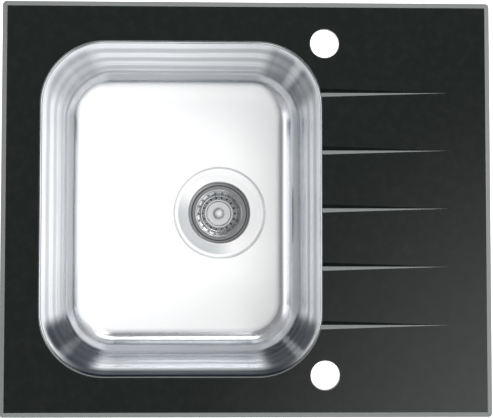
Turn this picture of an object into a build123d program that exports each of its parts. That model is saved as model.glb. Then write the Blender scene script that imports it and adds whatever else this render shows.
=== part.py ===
from build123d import *
from math import atan2, cos, hypot, pi, radians, sin, tan
import os

# An inset kitchen sink: a toughened glass plate with a deep-drawn steel bowl
# bonded into its cut-out, five drainer grooves, two tap holes, a basket waste
# and six screw clamps on rails under the glass.
# Millimetres. Z = 0 is the worktop's surface, under the middle of the plate.
# +X runs from the bowl to the drainer, +Y to the back, +Z up.

os.makedirs("parts", exist_ok=True)

# Glass plate
plate_length = 590.0
plate_width = 500.0
glass_thickness = 6.0
plate_corner_radius = 5.0
bevel_width = 6.0
bevel_depth = 2.0
arris = 0.6

# Edge seal between the plate and the worktop
seal_thickness = 2.0
seal_width = 8.0
seal_inset = 3.0

# Tap holes, beside the bowl's drainer side and in from the front and back edges
tap_hole_diameter = 35.0
tap_hole_beside_bowl = 3.0
tap_hole_margin = 50.0
tap_washer_diameter = 62.0

# Drainer grooves, ground into the glass and running out to nothing
groove_count = 5
groove_pitch = 70.0
groove_width = 10.0
groove_depth = 2.4
groove_end_margin = 51.5

# Bowl, pressed from one sheet
bowl_across = 340.0
bowl_corner_radius = 78.0
bowl_depth = 170.0
sheet = 0.8
wall_draft = 5.2
floor_fall = 0.7
floor_radius = 33.0
rim_reveal = 1.4
rim_bend = 2.2
flange_width = 12.0

# Waste recess pressed into the floor, round the waste's flange
waste_floor_strip = 8.5
waste_hole_play = 2.0
recess_margin = 6.0
recess_depth = 3.0
recess_step = 2.0
recess_bend = 1.2

# Adhesive under the glass
bond_thickness = 0.8
bond_inset = 2.0

# Rails for the clamps, folded channels open downwards
rail_inset = 20.5
rail_width = 12.0
rail_height = 10.0
rail_sheet = 1.2
rail_slot = 7.0
rail_bend = 0.8
rail_corner_gap = 24.0
rail_side_gap = 1.5
rail_front_gap = 3.5

# Clamp bolts and their locking nuts
bolt_diameter = 6.0
bolt_drop = 62.0
bolt_head_height = 3.0
bolt_head_play = 0.3
bolt_end_margin = 1.5
locknut_flats = 10.0
locknut_height = 3.2
bowl_clamp_distance = 125.0

# Clamp claw, washer and wing nut
claw_width = 16.0
claw_sheet = 2.0
claw_reach = 28.0
claw_tail = 9.0
claw_lip_height = 13.0
claw_tail_height = 8.0
claw_bend = 1.5
claw_hole_play = 0.5
claw_teeth = 4
claw_tooth_depth = 2.4
washer_diameter = 14.0
washer_thickness = 1.4
washer_play = 0.35
nut_play = 0.06
nut_hub_top_diameter = 12.0
nut_hub_bottom_diameter = 9.0
nut_hub_height = 7.0
nut_wing_span = 32.0
nut_wing_thickness = 2.4
nut_wing_drop = 12.0
nut_wing_rise = 3.0
nut_wing_width = 7.0
nut_wing_round = 2.6
nut_shoulder = 1.2

# Waste: strainer seat, seals, body, screw bridge and centre screw
seat_throat_diameter = 84.0
seat_flange_width = 15.0
seat_sheet = 1.0
seat_edge_drop = 0.9
seat_edge_width = 5.0
seat_throat_taper = 1.5
seat_ledge_width = 7.5
seat_ledge_depth = 14.0
seat_cup_taper = 3.0
seat_bend = 2.4
seat_screw_play = 0.3
seat_drain_count = 8
seat_drain_diameter = 10.0
seat_drain_inset = 9.0
sump_height = 10.2
flange_seal_thickness = 1.0
flange_seal_margin = 1.0
gasket_thickness = 2.5
gasket_width = 8.0
body_flange_thickness = 4.0
body_play = 1.2
body_bend = 4.5
funnel_drop = 16.0
outlet_diameter = 47.8
outlet_bore = 40.0
outlet_length = 24.0
boss_diameter = 17.0
boss_drop = 15.0
rib_drop = 2.0
rib_count = 4
rib_thickness = 3.0
bridge_play = 0.1
waste_screw_diameter = 8.0
waste_screw_play = 0.05
waste_screw_head_diameter = 14.0
waste_screw_head_height = 4.0
waste_screw_head_round = 1.6
waste_screw_slot_width = 1.6
waste_screw_slot_depth = 2.0
waste_screw_tip = 0.5

# Basket strainer that lifts out of the seat
basket_sheet = 0.7
basket_lip_play = 3.0
basket_mouth_play = 1.5
basket_wall_spread = 5.5
basket_height = 21.0
basket_bend = 2.0
basket_floor_width = 8.0
basket_disc_rise = 1.6
basket_hole_count = 18
basket_hole_diameter = 3.2
basket_hole_inset = 3.5
basket_wall_row_share = 0.3
basket_seal_thickness = 1.2
basket_seal_overhang = 1.3
basket_seal_inset = 2.6
stem_diameter = 5.0
stem_play = 0.05
stem_grip = 6.0
stem_head_diameter = 9.0
stem_head_height = 1.2
knob_diameter = 12.0
knob_neck_diameter = 7.0
knob_foot_diameter = 16.0
knob_foot_height = 1.0
knob_height = 15.0
socket_wall = 1.6
socket_play = 0.4
socket_overlap = 1.5

# Sound-damping pad under the floor
pad_thickness = 2.0
pad_margin = 42.0
pad_corner_radius = 24.0
pad_waste_gap = 6.0

# How nearly an edge's direction matches a piece's axis when edges are picked
parallel_share = 0.99

# Diameters of the waste worked out from the throat outwards and inwards
seat_diameter = seat_throat_diameter + 2 * seat_flange_width
seat_ledge_outer_diameter = seat_throat_diameter - 2 * seat_throat_taper
seat_ledge_inner_diameter = seat_ledge_outer_diameter - 2 * seat_ledge_width
seat_floor_diameter = seat_ledge_inner_diameter - 2 * seat_cup_taper
seat_drain_circle = seat_floor_diameter - 2 * seat_drain_inset
waste_hole_diameter = seat_throat_diameter + 2 * (seat_sheet + waste_hole_play)
recess_diameter = seat_diameter + 2 * recess_margin
gasket_inner_diameter = waste_hole_diameter + 2 * flange_seal_margin
gasket_outer_diameter = gasket_inner_diameter + 2 * gasket_width
body_flange_diameter = gasket_outer_diameter + 2 * flange_seal_margin
basket_lip_diameter = seat_ledge_outer_diameter - 2 * basket_lip_play
basket_mouth_diameter = seat_ledge_inner_diameter - 2 * basket_mouth_play
basket_floor_diameter = basket_mouth_diameter - 2 * basket_wall_spread
basket_disc_diameter = basket_floor_diameter - 2 * basket_floor_width
basket_floor_holes_diameter = basket_floor_diameter - 2 * basket_hole_inset

# Levels worked out from the sizes above
glass_bottom = seal_thickness
glass_top_level = glass_bottom + glass_thickness
flange_top = glass_bottom - bond_thickness
floor_level = glass_top_level - bowl_depth
recess_level = floor_level - recess_depth
recess_under = recess_level - sheet
seat_top = recess_level + flange_seal_thickness + seat_sheet
ledge_level = seat_top - seat_ledge_depth
basket_top = ledge_level + basket_seal_thickness + basket_sheet
basket_floor = basket_top - basket_height
basket_disc = basket_floor + basket_disc_rise
seat_floor_top = basket_floor - basket_sheet - sump_height
seat_floor_under = seat_floor_top - seat_sheet
rail_top = glass_bottom - bond_thickness
rail_bottom = rail_top - rail_height
bolt_tip = -bolt_drop

# Places worked out from the sizes above: the rails lie between the plate's edge
# and the bowl's flange, and the waste keeps to the flat of the bowl's floor
bowl_side_margin = rail_inset + rail_width + rail_side_gap + flange_width
bowl_front_margin = rail_inset + rail_width + rail_front_gap + flange_width
bowl_front_to_back = plate_width - 2 * bowl_front_margin
bowl_x = -plate_length / 2 + bowl_side_margin + bowl_across / 2
bowl_right = bowl_x + bowl_across / 2
wall_run = bowl_depth * tan(radians(wall_draft))
waste_x = bowl_right - wall_run - floor_radius - waste_floor_strip - recess_diameter / 2
groove_end_x = plate_length / 2 - groove_end_margin
tap_hole_x = bowl_right + tap_hole_beside_bowl
tap_hole_y = plate_width / 2 - tap_hole_margin
tap_clear = tap_washer_diameter / 2
rail_centre_inset = rail_inset + rail_width / 2
rail_x = plate_length / 2 - rail_centre_inset
rail_y = plate_width / 2 - rail_centre_inset
bowl_clamp_x = -plate_length / 2 + bowl_clamp_distance
drainer_clamp_x = (tap_hole_x + tap_clear + rail_x - rail_corner_gap) / 2
waste_axis = Axis((waste_x, 0, 0), (0, 0, 1))
waste_section = Plane(origin=(waste_x, 0, 0), x_dir=(1, 0, 0), z_dir=(0, -1, 0))


def keep(piece, label):
    """Name a finished piece and write its STEP file."""
    piece.part.label = label
    export_step(piece.part, f"parts/{label}.step")


def degrees_of(run, rise):
    """The taper in degrees of a slope that goes out by run over rise."""
    return atan2(run, rise) * 180 / pi


# Glass plate: a pyramid frustum with the bevel's slope gives the ground edge,
# so the bevel's inner line stays sharp at the corners and the outer one is round.
bevel_run = bevel_width * glass_thickness / bevel_depth
inner_length = plate_length - 2 * bevel_width
inner_width = plate_width - 2 * bevel_width

with BuildPart() as glass_top:
    with BuildSketch(Plane.XY.offset(glass_bottom)):
        RectangleRounded(plate_length, plate_width, plate_corner_radius)
    extrude(amount=glass_thickness)
    with BuildSketch(Plane.XY.offset(glass_bottom)):
        Rectangle(inner_length + 2 * bevel_run, inner_width + 2 * bevel_run)
    with BuildSketch(Plane.XY.offset(glass_top_level)):
        Rectangle(inner_length, inner_width)
    loft(mode=Mode.INTERSECT)
    with BuildSketch(Plane.XY.offset(glass_bottom)):
        with Locations((bowl_x, 0)):
            RectangleRounded(bowl_across, bowl_front_to_back, bowl_corner_radius)
        with Locations((tap_hole_x, -tap_hole_y), (tap_hole_x, tap_hole_y)):
            Circle(tap_hole_diameter / 2)
    extrude(amount=glass_thickness, mode=Mode.SUBTRACT)
    top_openings = glass_top.faces().sort_by(Axis.Z)[-1].inner_wires()
    bottom_openings = glass_top.faces().sort_by(Axis.Z)[0].inner_wires()
    chamfer((top_openings + bottom_openings).edges(), length=arris)
    for row in range(groove_count):
        groove_y = (row - (groove_count - 1) / 2) * groove_pitch
        groove_plane = Plane(
            origin=(bowl_right - bowl_corner_radius, groove_y, glass_top_level),
            x_dir=(0, 1, 0),
            z_dir=(1, 0, 0),
        )
        groove_run = groove_end_x - groove_plane.origin.X
        flare = groove_run / (groove_end_x - bowl_right)
        with BuildSketch(groove_plane) as groove_mouth:
            with BuildLine():
                Polyline(
                    (-groove_width / 2 * flare, 0),
                    (0, -groove_depth * flare),
                    (groove_width / 2 * flare, 0),
                    close=True,
                )
            make_face()
        groove_tip = Vertex(groove_end_x, groove_y, glass_top_level)
        loft([groove_mouth.sketch, groove_tip], mode=Mode.SUBTRACT)
keep(glass_top, "glass_top")


# Edge seal: a foam strip all round, under the plate's rim
with BuildPart() as edge_seal:
    with BuildSketch():
        RectangleRounded(
            plate_length - 2 * seal_inset,
            plate_width - 2 * seal_inset,
            plate_corner_radius,
        )
        Rectangle(
            plate_length - 2 * (seal_inset + seal_width),
            plate_width - 2 * (seal_inset + seal_width),
            mode=Mode.SUBTRACT,
        )
    extrude(amount=seal_thickness)
keep(edge_seal, "edge_seal")


# Bowl: two nested pressed forms, the outer skin less the inner one
def pressed_form(skin):
    """The bowl as a solid form, one skin thickness larger than its inside."""
    side = skin / cos(radians(wall_draft)) - rim_reveal
    floor_skin = skin / cos(radians(floor_fall))
    reach = hypot(bowl_across, bowl_front_to_back)
    apex = floor_level - floor_skin
    with BuildPart() as form:
        with BuildSketch(Plane.XY.offset(flange_top)):
            with Locations((bowl_x, 0)):
                RectangleRounded(
                    bowl_across + 2 * side,
                    bowl_front_to_back + 2 * side,
                    bowl_corner_radius + side,
                )
        extrude(amount=-(flange_top - apex), taper=wall_draft)
        # A very shallow cone dishes the floor towards the waste from all sides
        with BuildSketch(waste_section):
            with BuildLine():
                Polyline(
                    (0, apex),
                    (reach, apex + reach * tan(radians(floor_fall))),
                    (reach, flange_top),
                    (0, flange_top),
                    close=True,
                )
            make_face()
        revolve(axis=waste_axis, mode=Mode.INTERSECT)
        floor_face = form.faces().sort_by(Axis.Z)[0]
        fillet(floor_face.outer_wire().edges(), radius=floor_radius + skin)
        with BuildSketch(Plane.XY.offset(recess_level - skin)):
            with Locations((waste_x, 0)):
                Circle(recess_diameter / 2 - recess_step + skin)
        extrude(
            amount=recess_depth + recess_step,
            taper=-degrees_of(recess_step, recess_depth),
        )
        recess_floor = form.faces().sort_by(Axis.Z)[0]
        fillet(recess_floor.edges(), radius=recess_bend + skin)
    return form.part


bowl_outside = pressed_form(sheet)
bowl_inside = pressed_form(0)

with BuildPart() as bowl:
    add(bowl_outside)
    with BuildSketch(Plane.XY.offset(flange_top)):
        with Locations((bowl_x, 0)):
            RectangleRounded(
                bowl_across + 2 * flange_width,
                bowl_front_to_back + 2 * flange_width,
                bowl_corner_radius + flange_width,
            )
    extrude(amount=-sheet)
    flange_under = bowl.faces().filter_by(Plane.XY).sort_by(Axis.Z)[-2]
    fillet(flange_under.inner_wires()[0].edges(), radius=rim_bend)
    add(bowl_inside, mode=Mode.SUBTRACT)
    mouth = bowl.faces().sort_by(Axis.Z)[-1].inner_wires()[0]
    fillet(mouth.edges(), radius=rim_bend + sheet)
    with BuildSketch(Plane.XY.offset(recess_level)):
        with Locations((waste_x, 0)):
            Circle(waste_hole_diameter / 2)
    extrude(amount=-sheet, both=True, mode=Mode.SUBTRACT)
keep(bowl, "bowl")


# Adhesive ring between the bowl's flange and the glass
with BuildPart() as bowl_bond:
    with BuildSketch(Plane.XY.offset(flange_top)):
        with Locations((bowl_x, 0)):
            RectangleRounded(
                bowl_across + 2 * (flange_width - bond_inset),
                bowl_front_to_back + 2 * (flange_width - bond_inset),
                bowl_corner_radius + flange_width - bond_inset,
            )
            RectangleRounded(
                bowl_across + 2 * bond_inset,
                bowl_front_to_back + 2 * bond_inset,
                bowl_corner_radius + bond_inset,
                mode=Mode.SUBTRACT,
            )
    extrude(amount=bond_thickness)
keep(bowl_bond, "bowl_bond")


# Sound-damping pad: it follows the dished floor and leaves the waste free
with BuildPart() as floor_pad:
    pad_inner = recess_diameter / 2 + pad_waste_gap
    pad_reach = hypot(bowl_across, bowl_front_to_back)
    pad_apex = floor_level - sheet / cos(radians(floor_fall))
    slope = tan(radians(floor_fall))
    with BuildSketch(waste_section):
        with BuildLine():
            Polyline(
                (pad_inner, pad_apex + pad_inner * slope),
                (pad_reach, pad_apex + pad_reach * slope),
                (pad_reach, pad_apex + pad_reach * slope - pad_thickness),
                (pad_inner, pad_apex + pad_inner * slope - pad_thickness),
                close=True,
            )
        make_face()
    revolve(axis=waste_axis)
    with BuildSketch(Plane.XY.offset(recess_level)):
        with Locations((bowl_x, 0)):
            RectangleRounded(
                bowl_across - 2 * pad_margin,
                bowl_front_to_back - 2 * pad_margin,
                pad_corner_radius,
            )
    extrude(amount=bowl_depth, both=True, mode=Mode.INTERSECT)
keep(floor_pad, "floor_pad")


# Rails: each run is a channel bonded under the glass, clear of the tap holes
rail_runs = {
    "rail_front_bowl": ((-rail_x + rail_corner_gap, -rail_y), (tap_hole_x - tap_clear, -rail_y)),
    "rail_front_drainer": ((tap_hole_x + tap_clear, -rail_y), (rail_x - rail_corner_gap, -rail_y)),
    "rail_back_bowl": ((-rail_x + rail_corner_gap, rail_y), (tap_hole_x - tap_clear, rail_y)),
    "rail_back_drainer": ((tap_hole_x + tap_clear, rail_y), (rail_x - rail_corner_gap, rail_y)),
    "rail_left": ((-rail_x, -rail_y + rail_corner_gap), (-rail_x, rail_y - rail_corner_gap)),
    "rail_right": ((rail_x, -rail_y + rail_corner_gap), (rail_x, rail_y - rail_corner_gap)),
}


def rail_end_plane(start, end, level):
    """The plane across a rail at its start, with its local Y up."""
    run = (Vector(*end) - Vector(*start)).normalized()
    return Plane(origin=(*start, level), x_dir=Vector(-run.Y, run.X), z_dir=run)


def rail_length(start, end):
    """The length of a rail run."""
    return (Vector(*end) - Vector(*start)).length


for rail_name, (start, end) in rail_runs.items():
    with BuildPart() as rail:
        with BuildSketch(rail_end_plane(start, end, rail_top)):
            with Locations((0, -rail_height / 2)):
                Rectangle(rail_width, rail_height)
                Rectangle(
                    rail_width - 2 * rail_sheet,
                    rail_height - 2 * rail_sheet,
                    mode=Mode.SUBTRACT,
                )
            with Locations((0, -rail_height)):
                Rectangle(rail_slot, 2 * rail_sheet, mode=Mode.SUBTRACT)
        extrude(amount=rail_length(start, end))
        along = Axis.X if start[1] == end[1] else Axis.Y
        across = Axis.Y if along == Axis.X else Axis.X
        bends = rail.edges().filter_by(along).group_by(across)
        fillet(bends[0] + bends[-1], radius=rail_bend)
    keep(rail, rail_name)


# Adhesive strips on the rails' backs, one group
with BuildPart() as rail_bond:
    for start, end in rail_runs.values():
        with BuildSketch(rail_end_plane(start, end, rail_top)):
            with Locations((0, bond_thickness / 2)):
                Rectangle(rail_width - 2 * bond_inset, bond_thickness)
        extrude(amount=rail_length(start, end))
keep(rail_bond, "rail_bond")


# Clamps: place, and the direction from the bolt to the worktop's edge
clamp_places = {
    "front_left": (bowl_clamp_x, -rail_y, -90),
    "front_right": (drainer_clamp_x, -rail_y, -90),
    "right": (rail_x, 0, 0),
    "back_right": (drainer_clamp_x, rail_y, 90),
    "back_left": (bowl_clamp_x, rail_y, 90),
    "left": (-rail_x, 0, 180),
}
bolt_radius = bolt_diameter / 2
lip_level = rail_bottom + rail_sheet
head_width = rail_width - 2 * rail_sheet - 2 * bolt_head_play
nut_top = bolt_tip + bolt_end_margin + nut_hub_height
washer_top = nut_top + washer_thickness


def clamp_plane(x, y, outward, level):
    """A level plane at a clamp, its local X along the parked claw."""
    parked = radians(outward - 90)
    return Plane(origin=(x, y, level), x_dir=(cos(parked), sin(parked), 0), z_dir=(0, 0, 1))


def upright(plane):
    """The upright plane along a level plane's local X."""
    return Plane(origin=plane.origin, x_dir=plane.x_dir, z_dir=-plane.y_dir)


# T-head bolts, each head inside its rail
with BuildPart() as clamp_bolts:
    for x, y, outward in clamp_places.values():
        with BuildSketch(clamp_plane(x, y, outward, lip_level)):
            Rectangle(head_width, head_width)
        extrude(amount=bolt_head_height)
        with BuildSketch(clamp_plane(x, y, outward, lip_level)):
            Circle(bolt_radius)
        extrude(amount=-(lip_level - bolt_tip))
keep(clamp_bolts, "clamp_bolts")


# Thin hexagon nuts that lock the bolts to the rails
with BuildPart() as clamp_locknuts:
    for x, y, outward in clamp_places.values():
        with BuildSketch(clamp_plane(x, y, outward, rail_bottom)):
            RegularPolygon(locknut_flats / 2, 6, major_radius=False)
            Circle(bolt_radius + nut_play, mode=Mode.SUBTRACT)
        extrude(amount=-locknut_height)
keep(clamp_locknuts, "clamp_locknuts")


def make_claw(place):
    """A folded steel strip: a toothed lip to grip, a short tail lip to brace."""
    base = clamp_plane(*place, washer_top)
    with BuildPart() as claw:
        with BuildSketch(upright(base)):
            with BuildLine():
                Polyline(
                    (-claw_tail, 0),
                    (claw_reach, 0),
                    (claw_reach, claw_lip_height),
                    (claw_reach - claw_sheet, claw_lip_height),
                    (claw_reach - claw_sheet, claw_sheet),
                    (-claw_tail + claw_sheet, claw_sheet),
                    (-claw_tail + claw_sheet, claw_tail_height),
                    (-claw_tail, claw_tail_height),
                    close=True,
                )
            make_face()
        extrude(amount=claw_width / 2, both=True)
        folds = claw.edges().filter_by(
            lambda edge: abs(edge.tangent_at(0).dot(base.y_dir)) > parallel_share
        )
        by_height = folds.group_by(Axis.Z)
        fillet(by_height[1], radius=claw_bend)
        fillet(by_height[0], radius=claw_bend + claw_sheet)
        with BuildSketch(base):
            Circle(bolt_radius + claw_hole_play)
        extrude(amount=claw_sheet, mode=Mode.SUBTRACT)
        lip = Plane(
            origin=base.origin + base.x_dir * claw_reach + base.z_dir * claw_lip_height,
            x_dir=base.y_dir,
            z_dir=base.x_dir,
        )
        with BuildSketch(lip):
            with GridLocations(claw_width / claw_teeth, 0, claw_teeth - 1, 1):
                Polygon(
                    (-claw_tooth_depth / 2, 0),
                    (0, -claw_tooth_depth),
                    (claw_tooth_depth / 2, 0),
                )
        extrude(amount=-claw_sheet, mode=Mode.SUBTRACT)
    return claw


def make_washer(place):
    """The plain washer between a claw and its wing nut."""
    with BuildPart() as washer:
        with BuildSketch(clamp_plane(*place, nut_top)):
            Circle(washer_diameter / 2)
            Circle(bolt_radius + washer_play, mode=Mode.SUBTRACT)
        extrude(amount=washer_thickness)
    return washer


def make_wing_nut(place):
    """A wing nut under its washer: a tapered hub with two rounded wings."""
    top = clamp_plane(*place, nut_top)
    with BuildPart() as wing_nut:
        with BuildSketch(top):
            Circle(nut_hub_top_diameter / 2)
        with BuildSketch(top.offset(-nut_hub_height)):
            Circle(nut_hub_bottom_diameter / 2)
        loft()
        with BuildSketch(upright(top)):
            with BuildLine():
                Polyline(
                    (0, -nut_shoulder),
                    (nut_wing_span / 2, -nut_wing_rise),
                    (nut_wing_span / 2, -nut_wing_drop),
                    (nut_wing_span / 2 - nut_wing_width, -nut_wing_drop),
                    (0, -nut_hub_height),
                    close=True,
                )
            make_face()
            mirror(about=Plane.YZ)
        extrude(amount=nut_wing_thickness / 2, both=True)
        wing_ends = wing_nut.edges().filter_by(
            lambda edge: abs(edge.tangent_at(0).dot(top.y_dir)) > parallel_share
            and abs((edge.center() - top.origin).dot(top.x_dir)) > nut_wing_span / 2 - nut_wing_width / 2
        )
        fillet(wing_ends, radius=nut_wing_round)
        with BuildSketch(top):
            Circle(bolt_radius + nut_play)
        extrude(amount=-nut_wing_drop, mode=Mode.SUBTRACT)
    return wing_nut


for clamp_name, clamp_place in clamp_places.items():
    keep(make_claw(clamp_place), f"claw_{clamp_name}")
    keep(make_washer(clamp_place), f"washer_{clamp_name}")
    keep(make_wing_nut(clamp_place), f"wing_nut_{clamp_name}")


# Strainer seat: a dished flange, a throat, a ledge for the basket's seal and a
# perforated floor for the centre screw
screw_radius = waste_screw_diameter / 2

with BuildPart() as strainer_seat:
    with BuildSketch(waste_section):
        with BuildLine():
            FilletPolyline(
                (seat_diameter / 2, seat_top - seat_edge_drop),
                (seat_diameter / 2 - seat_edge_width, seat_top),
                (seat_throat_diameter / 2, seat_top),
                (seat_ledge_outer_diameter / 2, ledge_level),
                (seat_ledge_inner_diameter / 2, ledge_level),
                (seat_floor_diameter / 2, seat_floor_top),
                (screw_radius + seat_screw_play, seat_floor_top),
                radius=[0, seat_bend, 0, 0, 0],
            )
            offset(amount=seat_sheet, side=Side.LEFT)
        make_face()
    revolve(axis=waste_axis)
    with BuildSketch(Plane.XY.offset(seat_floor_top)):
        with Locations((waste_x, 0)):
            with PolarLocations(seat_drain_circle / 2, seat_drain_count):
                Circle(seat_drain_diameter / 2)
    extrude(amount=-seat_sheet, mode=Mode.SUBTRACT)
keep(strainer_seat, "strainer_seat")


# Thin seal between the seat's flange and the recess
with BuildPart() as flange_seal:
    with BuildSketch(Plane.XY.offset(recess_level)):
        with Locations((waste_x, 0)):
            Circle(seat_diameter / 2 - seat_edge_width - flange_seal_margin)
            Circle(gasket_inner_diameter / 2, mode=Mode.SUBTRACT)
    extrude(amount=flange_seal_thickness)
keep(flange_seal, "flange_seal")


# Thick gasket between the bowl's underside and the waste body
with BuildPart() as body_gasket:
    with BuildSketch(Plane.XY.offset(recess_under)):
        with Locations((waste_x, 0)):
            Circle(gasket_outer_diameter / 2)
            Circle(gasket_inner_diameter / 2, mode=Mode.SUBTRACT)
    extrude(amount=-gasket_thickness)
keep(body_gasket, "body_gasket")


# Waste body: flange, cup, funnel and outlet
body_top = recess_under - gasket_thickness
body_wall = (outlet_diameter - outlet_bore) / 2
body_bore = seat_throat_diameter / 2 + seat_sheet + body_play
funnel_top = seat_floor_under
funnel_bottom = funnel_top - funnel_drop
outlet_end = funnel_bottom - outlet_length

with BuildPart() as waste_body:
    with BuildSketch(waste_section):
        with BuildLine():
            FilletPolyline(
                (body_bore, body_top),
                (body_bore, funnel_top),
                (outlet_bore / 2, funnel_bottom),
                (outlet_bore / 2, outlet_end),
                radius=[body_bend, 0],
            )
            offset(amount=body_wall, side=Side.LEFT)
        make_face()
    revolve(axis=waste_axis)
    with BuildSketch(Plane.XY.offset(body_top)):
        with Locations((waste_x, 0)):
            Circle(body_flange_diameter / 2)
            Circle(body_bore, mode=Mode.SUBTRACT)
    extrude(amount=-body_flange_thickness)
keep(waste_body, "waste_body")


# Screw bridge: a threaded boss on four arms that stand on the funnel's slope
boss_bottom = funnel_top - boss_drop
funnel_slope = (body_bore - outlet_bore / 2) / funnel_drop

with BuildPart() as screw_bridge:
    with BuildSketch(Plane.XY.offset(funnel_top)):
        with Locations((waste_x, 0)):
            Circle(boss_diameter / 2)
    extrude(amount=-boss_drop)
    arm_turns = [radians(360 / rib_count * number) for number in range(rib_count)]
    for turn in arm_turns:
        arm_plane = Plane(
            origin=(waste_x, 0, 0),
            x_dir=(cos(turn), sin(turn), 0),
            z_dir=(sin(turn), -cos(turn), 0),
        )
        with BuildSketch(arm_plane):
            with BuildLine():
                Polyline(
                    (boss_diameter / 4, funnel_top - rib_drop),
                    (body_bore - bridge_play - funnel_slope * rib_drop, funnel_top - rib_drop),
                    (body_bore - bridge_play - funnel_slope * boss_drop, boss_bottom),
                    (boss_diameter / 4, boss_bottom),
                    close=True,
                )
            make_face()
        extrude(amount=rib_thickness / 2, both=True)
    with BuildSketch(Plane.XY.offset(funnel_top)):
        with Locations((waste_x, 0)):
            Circle(screw_radius + waste_screw_play)
    extrude(amount=-boss_drop, mode=Mode.SUBTRACT)
keep(screw_bridge, "screw_bridge")


# Centre screw, with a domed slotted head on the seat's floor
with BuildPart() as waste_screw:
    with BuildSketch(Plane.XY.offset(seat_floor_top)):
        with Locations((waste_x, 0)):
            Circle(waste_screw_head_diameter / 2)
    extrude(amount=waste_screw_head_height)
    head_rim = waste_screw.faces().sort_by(Axis.Z)[-1].edges()
    fillet(head_rim, radius=waste_screw_head_round)
    with BuildSketch(Plane.XY.offset(seat_floor_top)):
        with Locations((waste_x, 0)):
            Circle(screw_radius)
    extrude(amount=-(seat_floor_top - boss_bottom + waste_screw_tip))
    with BuildSketch(Plane.XY.offset(seat_floor_top + waste_screw_head_height)):
        with Locations((waste_x, 0)):
            Rectangle(waste_screw_head_diameter, waste_screw_slot_width)
    extrude(amount=-waste_screw_slot_depth, mode=Mode.SUBTRACT)
keep(waste_screw, "waste_screw")


# Basket: a lip on its seal, a tapered wall, a floor with a raised disc, and a
# row of round holes in the floor and in the wall
with BuildPart() as basket_shell:
    with BuildSketch(waste_section):
        with BuildLine():
            FilletPolyline(
                (basket_lip_diameter / 2, basket_top),
                (basket_mouth_diameter / 2, basket_top),
                (basket_floor_diameter / 2, basket_floor),
                (basket_disc_diameter / 2, basket_floor),
                (basket_disc_diameter / 2 - basket_disc_rise, basket_disc),
                (stem_diameter / 2 + stem_play, basket_disc),
                radius=[basket_bend, basket_bend, 0, 0],
            )
            offset(amount=basket_sheet, side=Side.LEFT)
        make_face()
    revolve(axis=waste_axis)
    with BuildSketch(Plane.XY.offset(basket_floor)):
        with Locations((waste_x, 0)):
            with PolarLocations(basket_floor_holes_diameter / 2, basket_hole_count):
                Circle(basket_hole_diameter / 2)
    extrude(amount=-basket_sheet, both=True, mode=Mode.SUBTRACT)
    row_radius = basket_floor_diameter / 2 + basket_wall_row_share * basket_wall_spread
    with Locations((waste_x, 0, basket_floor + basket_wall_row_share * basket_height)):
        with PolarLocations(row_radius, basket_hole_count, start_angle=180 / basket_hole_count):
            Cylinder(
                basket_hole_diameter / 2,
                2 * basket_bend,
                rotation=(0, 90, 0),
                mode=Mode.SUBTRACT,
            )
keep(basket_shell, "basket_shell")


# Rubber seal under the basket's lip
with BuildPart() as basket_seal:
    with BuildSketch(Plane.XY.offset(ledge_level)):
        with Locations((waste_x, 0)):
            Circle(basket_lip_diameter / 2 + basket_seal_overhang)
            Circle(basket_mouth_diameter / 2 + basket_seal_inset, mode=Mode.SUBTRACT)
    extrude(amount=basket_seal_thickness)
keep(basket_seal, "basket_seal")


# Knob: a ball on a neck, turned from one piece, with a thin foot
stem_radius = stem_diameter / 2
ball_centre = basket_disc + knob_height - knob_diameter / 2

with BuildPart() as basket_knob:
    with BuildSketch(waste_section):
        with BuildLine():
            Polyline(
                (0, basket_disc),
                (knob_foot_diameter / 2, basket_disc),
                (knob_foot_diameter / 2, basket_disc + knob_foot_height),
                (knob_neck_diameter / 2, basket_disc + 2 * knob_foot_height),
                (knob_neck_diameter / 2, ball_centre),
                (0, ball_centre),
                close=True,
            )
        make_face()
    revolve(axis=waste_axis)
    with Locations((waste_x, 0, ball_centre)):
        Sphere(knob_diameter / 2)
    with BuildSketch(Plane.XY.offset(basket_disc)):
        with Locations((waste_x, 0)):
            Circle(stem_radius + stem_play)
    extrude(amount=stem_grip, mode=Mode.SUBTRACT)
keep(basket_knob, "basket_knob")


# Socket under the basket: it drops over the screw's head and centres the basket
socket_top = basket_disc - basket_sheet
socket_bore = waste_screw_head_diameter / 2 + socket_play
socket_bottom = seat_floor_top + waste_screw_head_height - socket_overlap

with BuildPart() as stem_socket:
    with BuildSketch(Plane.XY.offset(socket_top)):
        with Locations((waste_x, 0)):
            Circle(socket_bore + socket_wall)
    extrude(amount=-(socket_top - socket_bottom))
    with BuildSketch(Plane.XY.offset(socket_top - socket_wall)):
        with Locations((waste_x, 0)):
            Circle(socket_bore)
    extrude(amount=-(socket_top - socket_wall - socket_bottom), mode=Mode.SUBTRACT)
    with BuildSketch(Plane.XY.offset(socket_top)):
        with Locations((waste_x, 0)):
            Circle(stem_radius + stem_play)
    extrude(amount=-socket_wall, mode=Mode.SUBTRACT)
keep(stem_socket, "stem_socket")


# Stem: a rivet from the knob through the basket and the socket
with BuildPart() as basket_stem:
    with BuildSketch(Plane.XY.offset(basket_disc + stem_grip)):
        with Locations((waste_x, 0)):
            Circle(stem_radius)
    extrude(amount=-(stem_grip + basket_sheet + socket_wall))
    with BuildSketch(Plane.XY.offset(socket_top - socket_wall)):
        with Locations((waste_x, 0)):
            Circle(stem_head_diameter / 2)
    extrude(amount=-stem_head_height)
keep(basket_stem, "basket_stem")
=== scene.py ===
# %% [markdown]
# An inset kitchen sink, dressed for its portrait.
# The construction comes in as a fixed frame: a black glass plate, a drawn steel
# bowl, a basket waste, and the rails and clamps underneath. This file gives each
# part its finish, and models again the few forms that a construction model leaves
# plain: the pressed bowl's soft curves, the threads, the rims of the punched holes.

from contextlib import contextmanager
from functools import partialmethod
from math import atan2, cos, pi, radians, sin, tan

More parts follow.
